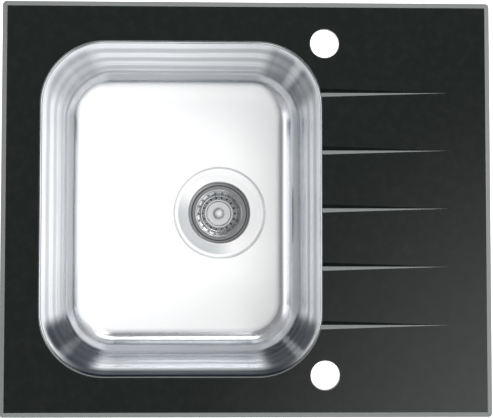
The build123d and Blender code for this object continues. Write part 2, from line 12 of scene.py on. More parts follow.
import bmesh
import bpy
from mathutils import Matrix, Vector


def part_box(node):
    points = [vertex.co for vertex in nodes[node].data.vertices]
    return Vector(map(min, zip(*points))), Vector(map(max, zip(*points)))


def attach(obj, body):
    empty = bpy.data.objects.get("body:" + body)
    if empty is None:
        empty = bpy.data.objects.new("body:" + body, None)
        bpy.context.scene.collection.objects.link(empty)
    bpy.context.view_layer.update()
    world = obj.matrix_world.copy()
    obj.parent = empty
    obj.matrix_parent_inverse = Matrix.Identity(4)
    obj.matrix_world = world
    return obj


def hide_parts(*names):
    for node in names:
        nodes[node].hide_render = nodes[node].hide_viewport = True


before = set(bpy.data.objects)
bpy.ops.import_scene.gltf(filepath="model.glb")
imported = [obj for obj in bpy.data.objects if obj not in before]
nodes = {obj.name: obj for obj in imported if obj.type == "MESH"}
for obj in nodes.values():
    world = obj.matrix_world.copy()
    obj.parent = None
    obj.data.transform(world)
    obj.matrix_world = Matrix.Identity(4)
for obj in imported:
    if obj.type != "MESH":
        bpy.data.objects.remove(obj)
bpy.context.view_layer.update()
MM = 0.001

# %% [markdown]
# The frame gives every place that the new pieces need: the middle of the bowl,
# the waste's axis and the level of the worktop, which is zero. A size that the
# frame shows is read from it, so the pieces follow if the construction changes.

# %% Read the main places from the frame
def corners(node):
    """The lowest and highest corner of a construction node as vectors."""
    return [Vector(corner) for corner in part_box(node)]


glass_low, glass_high = corners("glass_top")
bowl_low, bowl_high = corners("bowl")
seat_low, seat_high = corners("strainer_seat")
body_low, body_high = corners("waste_body")
knob_low, knob_high = corners("basket_knob")
basket_high = corners("basket_shell")[1]
bowl_centre = (bowl_low + bowl_high) / 2
waste_x = (seat_low.x + seat_high.x) / 2
print("plate:", [round(v, 4) for v in glass_high - glass_low], "waste at x", round(waste_x, 4))

# %% [markdown]
# Blender keeps a thing's data, such as a mesh, a lamp or a lens, apart from the
# object that stands in the scene and shows it. Two helpers make both in one go.

# %% Put things in the scene
def stand(name, data):
    """A new object in the scene that shows a mesh, a lamp or a lens."""
    thing = bpy.data.objects.new(name, data)
    bpy.context.scene.collection.objects.link(thing)
    return thing


def mesh_piece(name, points, faces=(), edges=()):
    """A new mesh object from points in metres."""
    mesh = bpy.data.meshes.new(name)
    mesh.from_pydata([tuple(point) for point in points], edges, faces)
    return stand(name, mesh)


print("scene helpers ready")

# %% [markdown]
# The camera stands a little over a metre above the plate, left of its middle, and
# looks almost straight down. Its place, its small tilts and its focal length were
# worked out from the plate's corners, the grooves and the tap holes together. The
# picture is not centred on the lens's axis, so a small shift frames it.

# %% Place the camera
IMAGE_WIDTH_PX = 493
SENSOR_WIDTH_MM = 36.0
FOCAL_PX = 936.87
AXIS_X_PX = 215.0
CAMERA_PLACE_MM = (-60.15, -43.25, 1131.86)
CAMERA_TURNS_DEG = (2.145, -1.11, 0.149)

lens = bpy.data.cameras.new("portrait_lens")
lens.sensor_width = SENSOR_WIDTH_MM
lens.lens = FOCAL_PX * SENSOR_WIDTH_MM / IMAGE_WIDTH_PX
lens.shift_x = (IMAGE_WIDTH_PX / 2 - AXIS_X_PX) / IMAGE_WIDTH_PX
lens.clip_start = 0.02
lens.clip_end = 50.0
camera = stand("portrait_camera", lens)
camera.rotation_mode = "ZYX"
camera.rotation_euler = [radians(angle) for angle in CAMERA_TURNS_DEG]
camera.location = Vector(CAMERA_PLACE_MM) * MM
bpy.context.scene.camera = camera
bpy.context.scene.view_settings.view_transform = "Standard"
print("lens:", round(lens.lens, 2), "mm, shift", round(lens.shift_x, 4))

# %% [markdown]
# Finishes and shapes alike are built from nodes. Placing and linking each one by
# hand hides the thought, so a net writes them like a sum: each call adds a node,
# takes plain values or other nodes' outputs, and gives back an output.

# %% Node helpers
class Net:
    """A tree of nodes that is written like a sum."""

    def __init__(self, tree):
        self.tree = tree

    def feed(self, socket, value):
        """Link another node's output to a socket, or set the socket's plain value."""
        if isinstance(value, bpy.types.NodeSocket):
            self.tree.links.new(value, socket)
        else:
            socket.default_value = value

    def wire(self, node, **named):
        """Feed a node's inputs by name, with _ for a space."""
        for name, value in named.items():
            self.feed(node.inputs[name.replace("_", " ")], value)

    def node(self, kind, *inputs, options=None, **named):
        """A new node: its options, then its first inputs in order, then those by name."""
        node = self.tree.nodes.new(kind)
        for name, value in (options or {}).items():
            setattr(node, name, value)
        for socket, value in zip(node.inputs, inputs):
            self.feed(socket, value)
        self.wire(node, **named)
        return node

    def math(self, operation, *values):
        """One Math node."""
        return self.node("ShaderNodeMath", *values, options={"operation": operation}).outputs[0]

    def chain(self, operation, value, *others):
        """A row of Math nodes that work each further value into the first."""
        for other in others:
            value = self.math(operation, value, other)
        return value

    add = partialmethod(chain, "ADD")
    minus = partialmethod(chain, "SUBTRACT")
    times = partialmethod(chain, "MULTIPLY")
    over = partialmethod(chain, "DIVIDE")
    most = partialmethod(chain, "MAXIMUM")
    least = partialmethod(chain, "MINIMUM")

    def vector(self, operation, *values, out="Vector", **named):
        """One Vector Math node, with its output named."""
        node = self.node("ShaderNodeVectorMath", *values, options={"operation": operation}, **named)
        return node.outputs[out]

    def split(self, vector):
        """The X, Y and Z of a vector."""
        return self.node("ShaderNodeSeparateXYZ", vector).outputs

    def combine(self, **parts):
        """A vector from its X, Y and Z."""
        return self.node("ShaderNodeCombineXYZ", **parts).outputs[0]

    def ramp(self, source, low, high, to_low=0.0, to_high=1.0, soft=True):
        """Low..high mapped to to_low..to_high and clamped, with soft ends."""
        options = {"interpolation_type": "SMOOTHSTEP" if soft else "LINEAR"}
        limits = (low, high, to_low, to_high)
        return self.node("ShaderNodeMapRange", source, *limits, options=options).outputs[0]

    def blend(self, mask, low, high):
        """A colour that goes from low to high as a mask goes from 0 to 1."""
        mix = self.node("ShaderNodeMix", mask, options={"data_type": "RGBA"})
        sockets = [socket for socket in mix.inputs if socket.type == "RGBA"]
        for socket, colour in zip(sockets, (low, high)):
            self.feed(socket, (*colour, 1.0) if isinstance(colour, tuple) else colour)
        return next(socket for socket in mix.outputs if socket.type == "RGBA")

    def noise(self, place, options=None, **named):
        """A cloudy value from 0 to 1."""
        return self.node("ShaderNodeTexNoise", place, options=options, **named).outputs[0]

    def group(self, shared, **named):
        """The outputs of a shared group."""
        return self.node("ShaderNodeGroup", options={"node_tree": shared}, **named).outputs

    def relief(self, height, distance, strength=1.0):
        """A normal that shows a fine height."""
        return self.node("ShaderNodeBump", Height=height, Distance=distance, Strength=strength).outputs[0]

    def here(self):
        """Where the shaded or moved point is, in its own piece's coordinates."""
        if self.tree.type == "GEOMETRY":
            return self.node("GeometryNodeInputPosition").outputs[0]
        return self.node("ShaderNodeTexCoord").outputs["Object"]

    def facing(self, kind="Normal"):
        """Which way the surface faces."""
        return self.node("ShaderNodeNewGeometry").outputs[kind]


print("node helpers ready")

# %% [markdown]
# Every finish starts the same way: a Principled shader whose plain numbers sit on
# its own sockets, and a net for what changes over the surface. Every shared group
# and every shape's tree starts with named sockets, whose kinds follow from the
# values that they start with.

# %% Start a finish or a tree
SOCKET_KINDS = {float: "Float", int: "Int", tuple: "Vector"}


def new_finish(name, **plain):
    """A new material, its net and its shader with the plain values set."""
    material = bpy.data.materials.new(name)
    material.use_nodes = True
    net = Net(material.node_tree)
    shader = material.node_tree.nodes["Principled BSDF"]
    net.wire(shader, **plain)
    return material, net, shader


def new_tree(name, tree_kind, outputs, **inputs):
    """An empty tree with named sockets: its net, what comes in and what goes out."""
    tree = bpy.data.node_groups.new(name, tree_kind)
    for direction, sockets in (("INPUT", inputs), ("OUTPUT", outputs)):
        for label, value in sockets.items():
            kind = SOCKET_KINDS.get(type(value), value)
            socket = tree.interface.new_socket(
                label.replace("_", " "), in_out=direction, socket_type="NodeSocket" + kind
            )
            if kind != value:
                socket.default_value = value
    return Net(tree), tree.nodes.new("NodeGroupInput").outputs, tree.nodes.new("NodeGroupOutput").inputs


print("starting helpers ready")

# %% [markdown]
# Steel and black glass are mirrors, so what they mirror makes the picture. The
# sky here is a studio dome: dim overhead, which keeps the glass black, with bright
# panels to the right and the front, which fill the satin bowl with light and give
# the glass its sheen. A black card hangs where the grooves' far flanks look.

# %% Studio dome
DIM_LEVEL = 0.36
HORIZON_LEVEL = 0.75
HORIZON_TOP = 0.35
# Each panel: zenith angle, azimuth from +X, soft radius and core radius in degrees,
# and how bright it is
BRIGHT_PANELS = {
    "front_right": (38, -35, 36, 6, 3.0),
    "right": (56, 2, 36, 10, 2.3),
    "front": (52, -88, 34, 10, 2.3),
    "left": (63, 178, 24, 8, 2.2),
    "back_right": (31, 45, 10, 4, 8.0),
    "far_right": (32, 16, 10, 4, 5.0),
    "back": (32, 68, 9, 4, 5.0),
}
BLACK_CARD = (50, -75, 15, 9)
CARD_SHADE = 0.96

world = bpy.data.worlds.new("studio_dome")
world.use_nodes = True
world.node_tree.nodes.clear()
sky = Net(world.node_tree)
direction = sky.node("ShaderNodeTexCoord").outputs["Generated"]


def sky_patch(zenith, azimuth, radius, core):
    """A mask that is 1 within core degrees of a direction and 0 beyond radius."""
    tilt, turn = radians(zenith), radians(azimuth)
    aim = (sin(tilt) * cos(turn), sin(tilt) * sin(turn), cos(tilt))
    angle = sky.math("ARCCOSINE", sky.vector("DOT_PRODUCT", direction, aim, out="Value"))
    return sky.ramp(angle, radians(core), radians(radius), 1.0, 0.0)


patches = [sky.times(sky_patch(*shape), level - DIM_LEVEL) for *shape, level in BRIGHT_PANELS.values()]
horizon = sky.ramp(sky.split(direction)["Z"], 0.0, HORIZON_TOP, HORIZON_LEVEL - DIM_LEVEL, 0.0)
light = sky.add(sky.most(*patches, horizon), DIM_LEVEL)
not_carded = sky.minus(1.0, sky.times(sky_patch(*BLACK_CARD), CARD_SHADE))
background = sky.node("ShaderNodeBackground", Strength=sky.times(light, not_carded))
sky.node("ShaderNodeOutputWorld", Surface=background.outputs[0])
bpy.context.scene.world = world
print("dome: dim", DIM_LEVEL, "horizon", HORIZON_LEVEL, "panels:", list(BRIGHT_PANELS))

# %% [markdown]
# Two softboxes do what the dome can't: one behind the sink draws the bright edge
# light, and a cloth overhead fills the matt surfaces. The cloth is hidden from
# mirrors, or it would show as a grey square in the glass.

# %% Softboxes
def softbox(name, place, size, level):
    """A rectangular area lamp aimed at the plate's middle, as bright as a mirror shows it."""
    lamp = bpy.data.lights.new(name, "AREA")
    lamp.shape = "RECTANGLE"
    lamp.size, lamp.size_y = size
    lamp.energy = level * pi * size[0] * size[1]
    box = stand(name, lamp)
    box.location = place
    box.rotation_euler = (Vector() - Vector(place)).to_track_quat("-Z", "Y").to_euler()
    return box


softbox("back_softbox", (0.25, 1.75, 1.35), (1.2, 0.45), 4.0)
overhead = softbox("overhead_cloth", (0.0, 0.0, 1.75), (1.4, 1.4), 2.9)
overhead.visible_glossy = False
print("lamps:", [lamp.name for lamp in bpy.data.lights])

# %% [markdown]
# The floor is a wide pale sheet at the level of the waste's outlet, the lowest
# point of the sink. To the eye of the camera it adds a glow of its own, so it
# reads as white paper, and it still shows the soft shadow that the sink throws.

# %% Lay the floor
FLOOR_GLOW = 0.80
FLOOR_HALF = 12.0
floor_paper, net, shader = new_finish(
    "floor_paper", Base_Color=(0.80, 0.80, 0.80, 1.0), Roughness=0.9, Emission_Color=(1.0, 1.0, 1.0, 1.0)
)
rays = net.node("ShaderNodeLightPath").outputs
seen = net.most(rays["Is Camera Ray"], rays["Is Glossy Ray"], rays["Is Transmission Ray"])
net.wire(shader, Emission_Strength=net.times(seen, FLOOR_GLOW))
ways = ((-1, -1), (1, -1), (1, 1), (-1, 1))
floor_corners = [(x * FLOOR_HALF, y * FLOOR_HALF, body_low.z) for x, y in ways]
floor = mesh_piece("studio_floor", floor_corners, [(0, 1, 2, 3)])
floor.data.materials.append(floor_paper)
print("floor at", round(body_low.z, 4), "m")

# %% [markdown]
# Effects that several finishes share are built once, as node groups: the fine
# grain of brushed or rolled metal, the bright wear on an edge, and a film of
# dust on what faces up. Each puts out masks only, and each material decides what
# they do. Grain is noise at two scales, and a stretch draws the finer one out into
# the lines of a brush or a roller.

# %% Grain group
NOWHERE, EVEN = (0.0, 0.0, 0.0), (1.0, 1.0, 1.0)
outputs = {"Fine": 0.0, "Broad": 0.0}
net, given, result = new_tree("metal_grain", "ShaderNodeTree", outputs, Place=NOWHERE, Stretch=EVEN, Scale=900.0)
stretched = net.vector("MULTIPLY", given["Place"], given["Stretch"])
fine = net.noise(stretched, Scale=given["Scale"], Detail=6.0, Roughness=0.65)
broad = net.noise(given["Place"], Scale=14.0, Detail=3.0)
net.feed(result["Fine"], net.ramp(fine, 0.3, 0.7))
net.feed(result["Broad"], net.ramp(broad, 0.3, 0.7))
grain_group = net.tree
print("group:", grain_group.name)

# %% [markdown]
# Handling rubs a plated or moulded edge bright. Pointiness tells how far a place
# stands out from its surroundings, and a noise breaks the rubbed line up, because
# an edge never wears evenly.

# %% Edge wear group
net, given, result = new_tree(
    "edge_wear", "ShaderNodeTree", {"Mask": 0.0}, Place=NOWHERE, Start=0.52, End=0.62, Breakup=180.0
)
convex = net.ramp(net.facing("Pointiness"), given["Start"], given["End"], soft=False)
patchy = net.noise(given["Place"], Scale=given["Breakup"], Detail=4.0)
net.feed(result["Mask"], net.times(convex, net.ramp(patchy, 0.35, 0.6)))
wear_group = net.tree
print("group:", wear_group.name)

# %% [markdown]
# Dust settles from above, so it lies where the surface faces up, in clouds.

# %% Dust group
net, given, result = new_tree("dust_film", "ShaderNodeTree", {"Mask": 0.0}, Place=NOWHERE, Amount=0.5, Scale=60.0)
facing_up = net.ramp(net.split(net.facing())["Z"], 0.2, 0.95)
cloud = net.ramp(net.noise(given["Place"], Scale=given["Scale"], Detail=8.0, Roughness=0.7), 0.42, 0.68)
net.feed(result["Mask"], net.times(facing_up, cloud, given["Amount"]))
dust_group = net.tree
print("group:", dust_group.name)

# %% [markdown]
# Most finishes here are one idea with other numbers: two tones that wander into
# each other, a fine grain that shows in the gloss and as a low relief, and on top
# a layer of wear, dust or chips. One function makes them all, in object
# coordinates, so that a pattern stays on its piece when the piece moves.

# %% A grained finish
def grained_finish(name, tones, rough, bump, scale, metallic=0.0, stretch=EVEN, pattern=None, layer=None):
    """A finish of two tones with a fine grain; a layer is a mask and its colour."""
    material, net, shader = new_finish(name, Metallic=metallic)
    place = net.here()
    grain = net.group(grain_group, Place=place, Stretch=stretch, Scale=scale)
    tone = net.blend(pattern(net, place) if pattern else grain["Broad"], *tones)
    if layer:
        mask, colour = layer
        tone = net.blend(mask(net, place), tone, colour)
    gloss = net.ramp(grain["Fine"], 0.0, 1.0, *rough)
    net.wire(shader, Base_Color=tone, Roughness=gloss, Normal=net.relief(grain["Fine"], *bump))
    return material


def layer_of(group, **values):
    """The mask of a layer that a shared group makes."""
    return lambda net, place: net.group(group, Place=place, **values)["Mask"]


def use_finish(material, *names):
    """Put a material in the only slot of each construction node."""
    for name in names:
        nodes[name].data.materials.clear()
        nodes[name].data.materials.append(material)
    print("finish:", material.name, "on", len(names), "nodes")


# %% [markdown]
# The plate is toughened glass with a black coat behind it, so from above it is a
# deep gloss black. On the bevel the grinding wheel is left to show, and the surface
# is satin and scatters light. The near flank of each drainer groove gets the same
# pale satin as a painted sheen, where the back light would fall on it. Those faces
# tilt, so the true normal picks them out, while the far flank of a groove is
# polished like the top. The underside shows the dull back of the coat.

# %% Black glass
BEVEL_BAND = 6.5 * MM
DEEP_BLACK = (0.0028, 0.0050, 0.0043)
COAT_BACK = (0.030, 0.030, 0.032)
# Pale satin of the ground bevel, also used as a painted sheen on the near groove flanks
GROUND_GLASS_AND_FLANK_SHEEN = ((0.14, 0.152, 0.148), (0.18, 0.192, 0.188))
GROUND_ROUGHNESS = 0.42


def make_black_glass():
    """Gloss black above, satin where the glass is ground, a painted sheen on the near groove flanks, and dull
    underneath.
    """
    material, net, shader = new_finish("black_glass", IOR=1.52)
    place = net.here()
    frost = net.group(grain_group, Place=place, Scale=2500.0)
    dust = net.group(dust_group, Place=place, Amount=0.006, Scale=90.0)
    tilt = net.split(net.facing("True Normal"))
    spot = net.split(place)
    sloping = net.times(net.ramp(tilt["Z"], 0.975, 0.995, 1.0, 0.0), net.ramp(tilt["Z"], -0.3, 0.2))
    beyond = [
        net.math("GREATER_THAN", net.math("ABSOLUTE", spot[axis]), edge - BEVEL_BAND)
        for axis, edge in (("X", glass_high.x), ("Y", glass_high.y))
    ]
    # Satin on the ground bevel, and a painted sheen on the groove flanks that face the back
    satin = net.times(sloping, net.most(*beyond, net.ramp(tilt["Y"], 0.1, 0.3)))
    underside = net.ramp(tilt["Z"], -0.9, -0.5, 1.0, 0.0)
    specked = net.blend(dust["Mask"], DEEP_BLACK, (0.5, 0.5, 0.5))
    above = net.blend(satin, specked, net.blend(frost["Fine"], *GROUND_GLASS_AND_FLANK_SHEEN))
    gloss = net.ramp(frost["Broad"], 0.0, 1.0, 0.025, 0.045)
    rough = net.times(net.most(satin, underside), GROUND_ROUGHNESS)
    net.wire(shader, Base_Color=net.blend(underside, above, COAT_BACK), Roughness=net.add(gloss, rough))
    return material


black_glass = make_black_glass()
use_finish(black_glass, "glass_top")

# %% [markdown]
# The bowl's walls come bright from the press, and its floor is blasted to a pale
# satin that hides scratches. The waste is made the same way: its flange and the
# basket's centre disc are satin, its throat and the basket's walls are bright. One
# mask goes from bright to satin, and drives the colour, the roughness and the sheen.

# %% Bright and satin steel
BRIGHT_TONES = ((0.61, 0.625, 0.64), (0.68, 0.69, 0.70))
SATIN_TONES = ((0.95, 0.95, 0.95), (0.98, 0.98, 0.98))
SATIN_ROUGHNESS = 0.34
SATIN_METALLIC = 0.22


def satin_on_bright(net, shader, satin, grain, rough_low, rough_high):
    """Set the gloss of steel that a mask takes from bright to satin; its colour."""
    rough = net.ramp(grain["Fine"], 0.0, 1.0, rough_low, rough_high)
    net.wire(
        shader,
        Roughness=net.add(rough, net.times(satin, SATIN_ROUGHNESS)),
        Metallic=net.ramp(satin, 0.0, 1.0, 1.0, SATIN_METALLIC, soft=False),
    )
    bright, pale = (net.blend(grain["Broad"], *tones) for tones in (BRIGHT_TONES, SATIN_TONES))
    return net.blend(satin, bright, pale)


print("satin tones:", SATIN_TONES)

# %% [markdown]
# The floor is a pale satin, and on the left and back bends, which face the bright
# panels to the right and the front, the satin is carried further up as a painted
# sheen, and in the corners a little up the wall. A mask follows that by rule: how
# level the steel lies, how far it leans to those panels, and how deep it is. The
# pressed recess round the waste is satin all over.

# %% Satin floor and painted sheen up the bends
# Which way the painted sheen leans: toward the bright panels at the right and the front
SHEEN_LEAN = (0.23, -0.32, 0.918)
RIM_DEPTHS = (10 * MM, 20 * MM)
RECESS_DEPTHS = (162.5 * MM, 163.5 * MM)


def satin_with_painted_sheen(net, normal, depth, in_corner):
    """A mask of the satin on the bowl's floor, with a painted sheen up the bends that face the light."""
    level = net.add(net.split(normal)["Z"], net.times(in_corner, 0.10))
    lean = net.vector("DOT_PRODUCT", normal, SHEEN_LEAN, out="Value")
    # Painted sheen: the satin climbs the bends that lean toward the light
    sheen_side = net.most(net.ramp(lean, 0.76, 0.91), net.times(in_corner, 0.36))
    satin = net.times(net.ramp(level, 0.62, 0.86), sheen_side, net.ramp(depth, *RIM_DEPTHS))
    return net.most(satin, net.ramp(depth, *RECESS_DEPTHS, 0.0, 0.7))


# %% [markdown]
# Deep drawing leaves soft rings in the walls. Their hollows get dark bands of
# painted shade, where the light would break in the rings, so the colour follows
# the same rule as the shape of the bowl further on: so many rings to the metre,
# crowding a little with depth.

# %% Painted shade in the hollows of the draw rings
RING_RATE = 26.0
RING_CROWDING = 4.0
RING_PHASE = -0.80
RING_HEIGHT_MM = 0.26
CREST_STEEL = (0.77, 0.79, 0.82)
# The dark colour painted as shade in the ring hollows, the corner streaks and the corner grey
PAINTED_BAND_SHADE = (0.11, 0.12, 0.135)


def painted_ring_bands(net, place, depth):
    """A mask of the dark bands of painted shade in the hollows between the draw rings."""
    rate = net.add(net.times(depth, RING_CROWDING), RING_RATE)
    sway = net.times(net.noise(place, Scale=9.0, Detail=3.0), 0.20)
    turns = net.add(net.times(depth, rate), RING_PHASE, sway, -0.10)
    return net.ramp(net.math("COSINE", net.times(turns, 2 * pi)), -0.6, 1.0)


print("rings to the metre:", RING_RATE)

# %% [markdown]
# In the corners grey is painted on as shade, most at the front, and along the
# middle of a corner a lighter band is painted as a highlight. The front left corner
# and the rolled rim along the front get a darker painted shade.
# The normal tells the sides apart: on a wall it points into the bowl.

# %% Painted shade in the corners and on the rim
# Between these values of the normal's X or Y, one side goes over to the other
SIDES = (-0.3, 0.3)
# Along the middle of a corner the normal turns as far to both sides as it can
MID_CORNER = (0.60, 0.69)
ROLLED_LEVELS = (-38 * MM, -18 * MM)
CORNER_SHADE_DEPTHS = (2 * MM, 24 * MM)
SHADE_FADE_DEPTHS = (50 * MM, 135 * MM)


def painted_corner_shade(net, tilt, depth, turned):
    """Masks of the grey shade painted in the corners and of the darker painted shade in one."""
    upright = net.ramp(tilt["Z"], 0.10, 0.45, 1.0, 0.0)
    corner_shade_zone = net.times(net.ramp(turned, 0.10, 0.40), net.ramp(depth, *CORNER_SHADE_DEPTHS), upright)
    shade_by_side = net.add(net.ramp(tilt["Y"], *SIDES, 0.42, 1.0), net.ramp(tilt["X"], *SIDES, 0.20, 0.0))
    # A painted highlight along the middle of a corner
    mid_corner_highlight = net.times(net.ramp(turned, *MID_CORNER), net.ramp(tilt["X"], *SIDES, 0.80, 0.25))
    front_left_shade = net.times(net.ramp(tilt["Y"], *SIDES, 0.0, 0.93), net.ramp(tilt["X"], *SIDES, 0.60, 1.0))
    # The darker painted shade fades out down the wall, and along the middle of the corner
    shade_fade = net.times(net.ramp(depth, *SHADE_FADE_DEPTHS, 1.0, 0.60), net.ramp(turned, 0.58, 0.69, 1.0, 0.66))
    corner_grey_shade = net.times(corner_shade_zone, shade_by_side, net.minus(1.0, mid_corner_highlight))
    return corner_grey_shade, net.times(corner_shade_zone, front_left_shade, shade_fade)


def painted_rim_shade(net, tilt, level):
    """A mask of the painted shade on the rolled rim, where it faces back."""
    lying = net.minus(1.001, net.times(tilt["Z"], tilt["Z"]))
    facing_back = net.over(tilt["Y"], net.math("SQRT", lying))
    return net.times(net.ramp(level, *ROLLED_LEVELS), net.ramp(facing_back, 0.5, 0.98))


print("corner masks ready")

# %% [markdown]
# The bowl's steel puts these masks together. The painted shade also darkens the
# shader's edge tint, so bare metal there doesn't turn bright when it is looked at
# along the wall. The outside of the bowl keeps a plainer pressed skin.

# %% Steel of the bowl
# The colour and the edge tint of the darker painted shade
PAINTED_SHADE_COLOUR = (0.026, 0.030, 0.038)
PAINTED_SHADE_TINT = (0.46, 0.48, 0.50)


def make_bowl_steel():
    """Satin floor with a painted sheen up its bends, bright walls with painted ring bands, painted shade in the
    corners and on the rim.
    """
    material, net, shader = new_finish("bowl_steel_satin_floor")
    place = net.here()
    grain = net.group(grain_group, Place=place, Scale=1400.0)
    normal = net.facing()
    tilt = net.split(normal)
    level = net.split(place)["Z"]
    depth = net.minus(bowl_high.z, level)
    turned = net.least(net.math("ABSOLUTE", tilt["X"]), net.math("ABSOLUTE", tilt["Y"]))
    in_corner = net.ramp(turned, 0.08, 0.35)
    satin = satin_with_painted_sheen(net, normal, depth, in_corner)
    steel = satin_on_bright(net, shader, satin, grain, 0.15, 0.21)
    bare = net.minus(1.0, satin)
    corner_grey_shade, corner_dark_shade = painted_corner_shade(net, tilt, depth, turned)
    # Painted dark streaks of reflection in the corners, following the turn of the normal
    painted_streak_noise = net.noise(net.combine(X=tilt["X"], Y=tilt["Y"]), Scale=3.6, Detail=2.0)
    painted_streak = net.times(net.ramp(painted_streak_noise, 0.42, 0.62), in_corner, 0.14)
    faded = net.minus(0.50, net.times(in_corner, 0.34))
    # Painted shade on the bare walls: ring bands, corner streaks and corner grey
    share = net.times(net.add(net.times(painted_ring_bands(net, place, depth), faded), painted_streak, corner_grey_shade), bare)
    ringed = net.blend(share, net.blend(bare, steel, CREST_STEEL), PAINTED_BAND_SHADE)
    # Darker painted shade on the front rim and the front left corner, in colour and edge tint
    painted_dark = net.most(painted_rim_shade(net, tilt, level), corner_dark_shade)
    painted_shade_tint_mask = net.most(painted_dark, net.times(corner_grey_shade, 0.62))
    net.wire(
        shader,
        Base_Color=net.blend(painted_dark, ringed, PAINTED_SHADE_COLOUR),
        Specular_Tint=net.blend(painted_shade_tint_mask, (1.0, 1.0, 1.0), PAINTED_SHADE_TINT),
        Normal=net.relief(grain["Fine"], 0.0012 * MM),
    )
    return material


bowl_steel = make_bowl_steel()
pressed_skin = grained_finish(
    "pressed_steel_skin",
    tones=((0.29, 0.30, 0.31), (0.38, 0.39, 0.40)),
    rough=(0.34, 0.52),
    bump=(0.01 * MM, 0.6),
    scale=700.0,
    metallic=1.0,
    stretch=(1.0, 1.0, 0.15),
    layer=(layer_of(dust_group, Amount=0.25, Scale=30.0), (0.55, 0.54, 0.52)),
)
use_finish(bowl_steel, "bowl")

# %% [markdown]
# The waste is turned and pressed from the same steel. Which of its flats are satin
# depends on the piece: on the seat those above a level, on the basket those near
# the axis. Deep in the sump the steel is painted dark as shade.

# %% Steel of the waste
FLAT_STEP = 0.07
GREYED_SATIN = (0.30, 0.31, 0.34)
SHADED_SATIN = (0.60, 0.62, 0.635)
# The dark colour painted as shade deep in the sump
SUMP_SHADE = (0.10, 0.10, 0.098)


def make_waste_steel(
    name,
    satin_above=None,
    satin_within=None,
    satin_from=0.90,
    greyed=0.0,
    shaded_toward=None,
    shade_below=None,
):
    """Bright steel with satin flats above a level or near the axis, and painted shade in the sump."""
    material, net, shader = new_finish(name)
    place = net.here()
    grain = net.group(grain_group, Place=place, Scale=900.0)
    spot = net.split(place)
    satin = net.ramp(net.split(net.facing())["Z"], satin_from, satin_from + FLAT_STEP)
    if satin_above is not None:
        satin = net.times(satin, net.math("GREATER_THAN", spot["Z"], satin_above))
    if satin_within is not None:
        flat = net.combine(X=spot["X"], Y=spot["Y"])
        reach = net.vector("DISTANCE", flat, (waste_x, 0.0, 0.0), out="Value")
        satin = net.times(satin, net.ramp(reach, satin_within, satin_within + 1 * MM, 1.0, 0.0))
    colour = satin_on_bright(net, shader, satin, grain, 0.16, 0.26)
    if greyed:
        colour = net.blend(net.times(satin, greyed), colour, GREYED_SATIN)
    if shaded_toward is not None:
        # A grey crescent is painted as shade on one side of the flange
        outward = net.vector("NORMALIZE", net.vector("SUBTRACT", place, (waste_x, 0.0, seat_high.z)))
        side = net.vector("DOT_PRODUCT", outward, shaded_toward, out="Value")
        colour = net.blend(net.times(net.ramp(side, 0.25, 0.85), satin), colour, SHADED_SATIN)
    if shade_below is not None:
        # Painted shade below a level, deep in the sump
        painted_dark = net.ramp(spot["Z"], shade_below - 4 * MM, shade_below, 1.0, 0.0)
        colour = net.blend(painted_dark, colour, SUMP_SHADE)
    net.wire(shader, Base_Color=colour, Normal=net.relief(grain["Fine"], 0.004 * MM, 0.3))
    return material


seat_steel = make_waste_steel(
    "seat_steel",
    satin_above=seat_high.z - 3 * MM,
    shade_below=basket_high.z - 8 * MM,
    shaded_toward=(-0.77, -0.64, 0.0),
)
basket_steel = make_waste_steel("basket_steel", satin_within=19 * MM, greyed=0.40)
turned_steel = make_waste_steel("turned_steel", satin_within=5.6 * MM, satin_from=0.45, greyed=0.1)
use_finish(seat_steel, "strainer_seat")
use_finish(basket_steel, "basket_shell")
use_finish(turned_steel, "basket_knob", "basket_stem", "waste_screw")

# %% [markdown]
# The rails are folded from mill steel, whose rolling lines run along the strip.
# The clamps are zinc plated: the plate grows in small crystals, each with its own
# tone, which cells of a Voronoi pattern show well, and it rubs yellowish on edges.

# %% Mill steel and zinc plate
def spangles(net, place):
    """A mask with one tone for each crystal of the plating."""
    crystals = net.node("ShaderNodeTexVoronoi", place, Scale=420.0)
    return net.node("ShaderNodeSeparateColor", crystals.outputs["Color"]).outputs[0]


rail_steel = grained_finish(
    "rolled_rail_steel",
    tones=((0.25, 0.26, 0.27), (0.35, 0.36, 0.37)),
    rough=(0.30, 0.50),
    bump=(0.01 * MM, 0.5),
    scale=900.0,
    metallic=1.0,
    stretch=(0.25, 0.25, 1.0),
    layer=(layer_of(wear_group, Breakup=220.0), (0.40, 0.41, 0.42)),
)
zinc_steel = grained_finish(
    "bright_zinc_plate",
    tones=((0.24, 0.26, 0.29), (0.36, 0.37, 0.39)),
    rough=(0.28, 0.44),
    bump=(0.008 * MM, 0.5),
    scale=500.0,
    metallic=1.0,
    pattern=spangles,
    layer=(layer_of(wear_group, Breakup=300.0), (0.50, 0.49, 0.46)),
)
use_finish(rail_steel, *(name for name in nodes if name.startswith("rail_") and name != "rail_bond"))
clamp_parts = ("clamp_", "washer_", "claw_", "wing_nut_")
use_finish(zinc_steel, *(name for name in nodes if name.startswith(clamp_parts)))

# %% [markdown]
# Rubber, foam, sealant and the bitumen pad are all dark and dull, but not alike:
# rubber has a faint bloom, foam shows its cut cells, sealant keeps a skin that
# shines a little, and the pad is a coarse sheet with mineral grains in it.

# %% Rubber, sealant and damping pad
def mineral_chips(net, place):
    """A mask of the small grains in the pad."""
    grit = net.node("ShaderNodeTexVoronoi", place, Scale=700.0)
    return net.ramp(grit.outputs["Distance"], 0.08, 0.22, 1.0, 0.0)


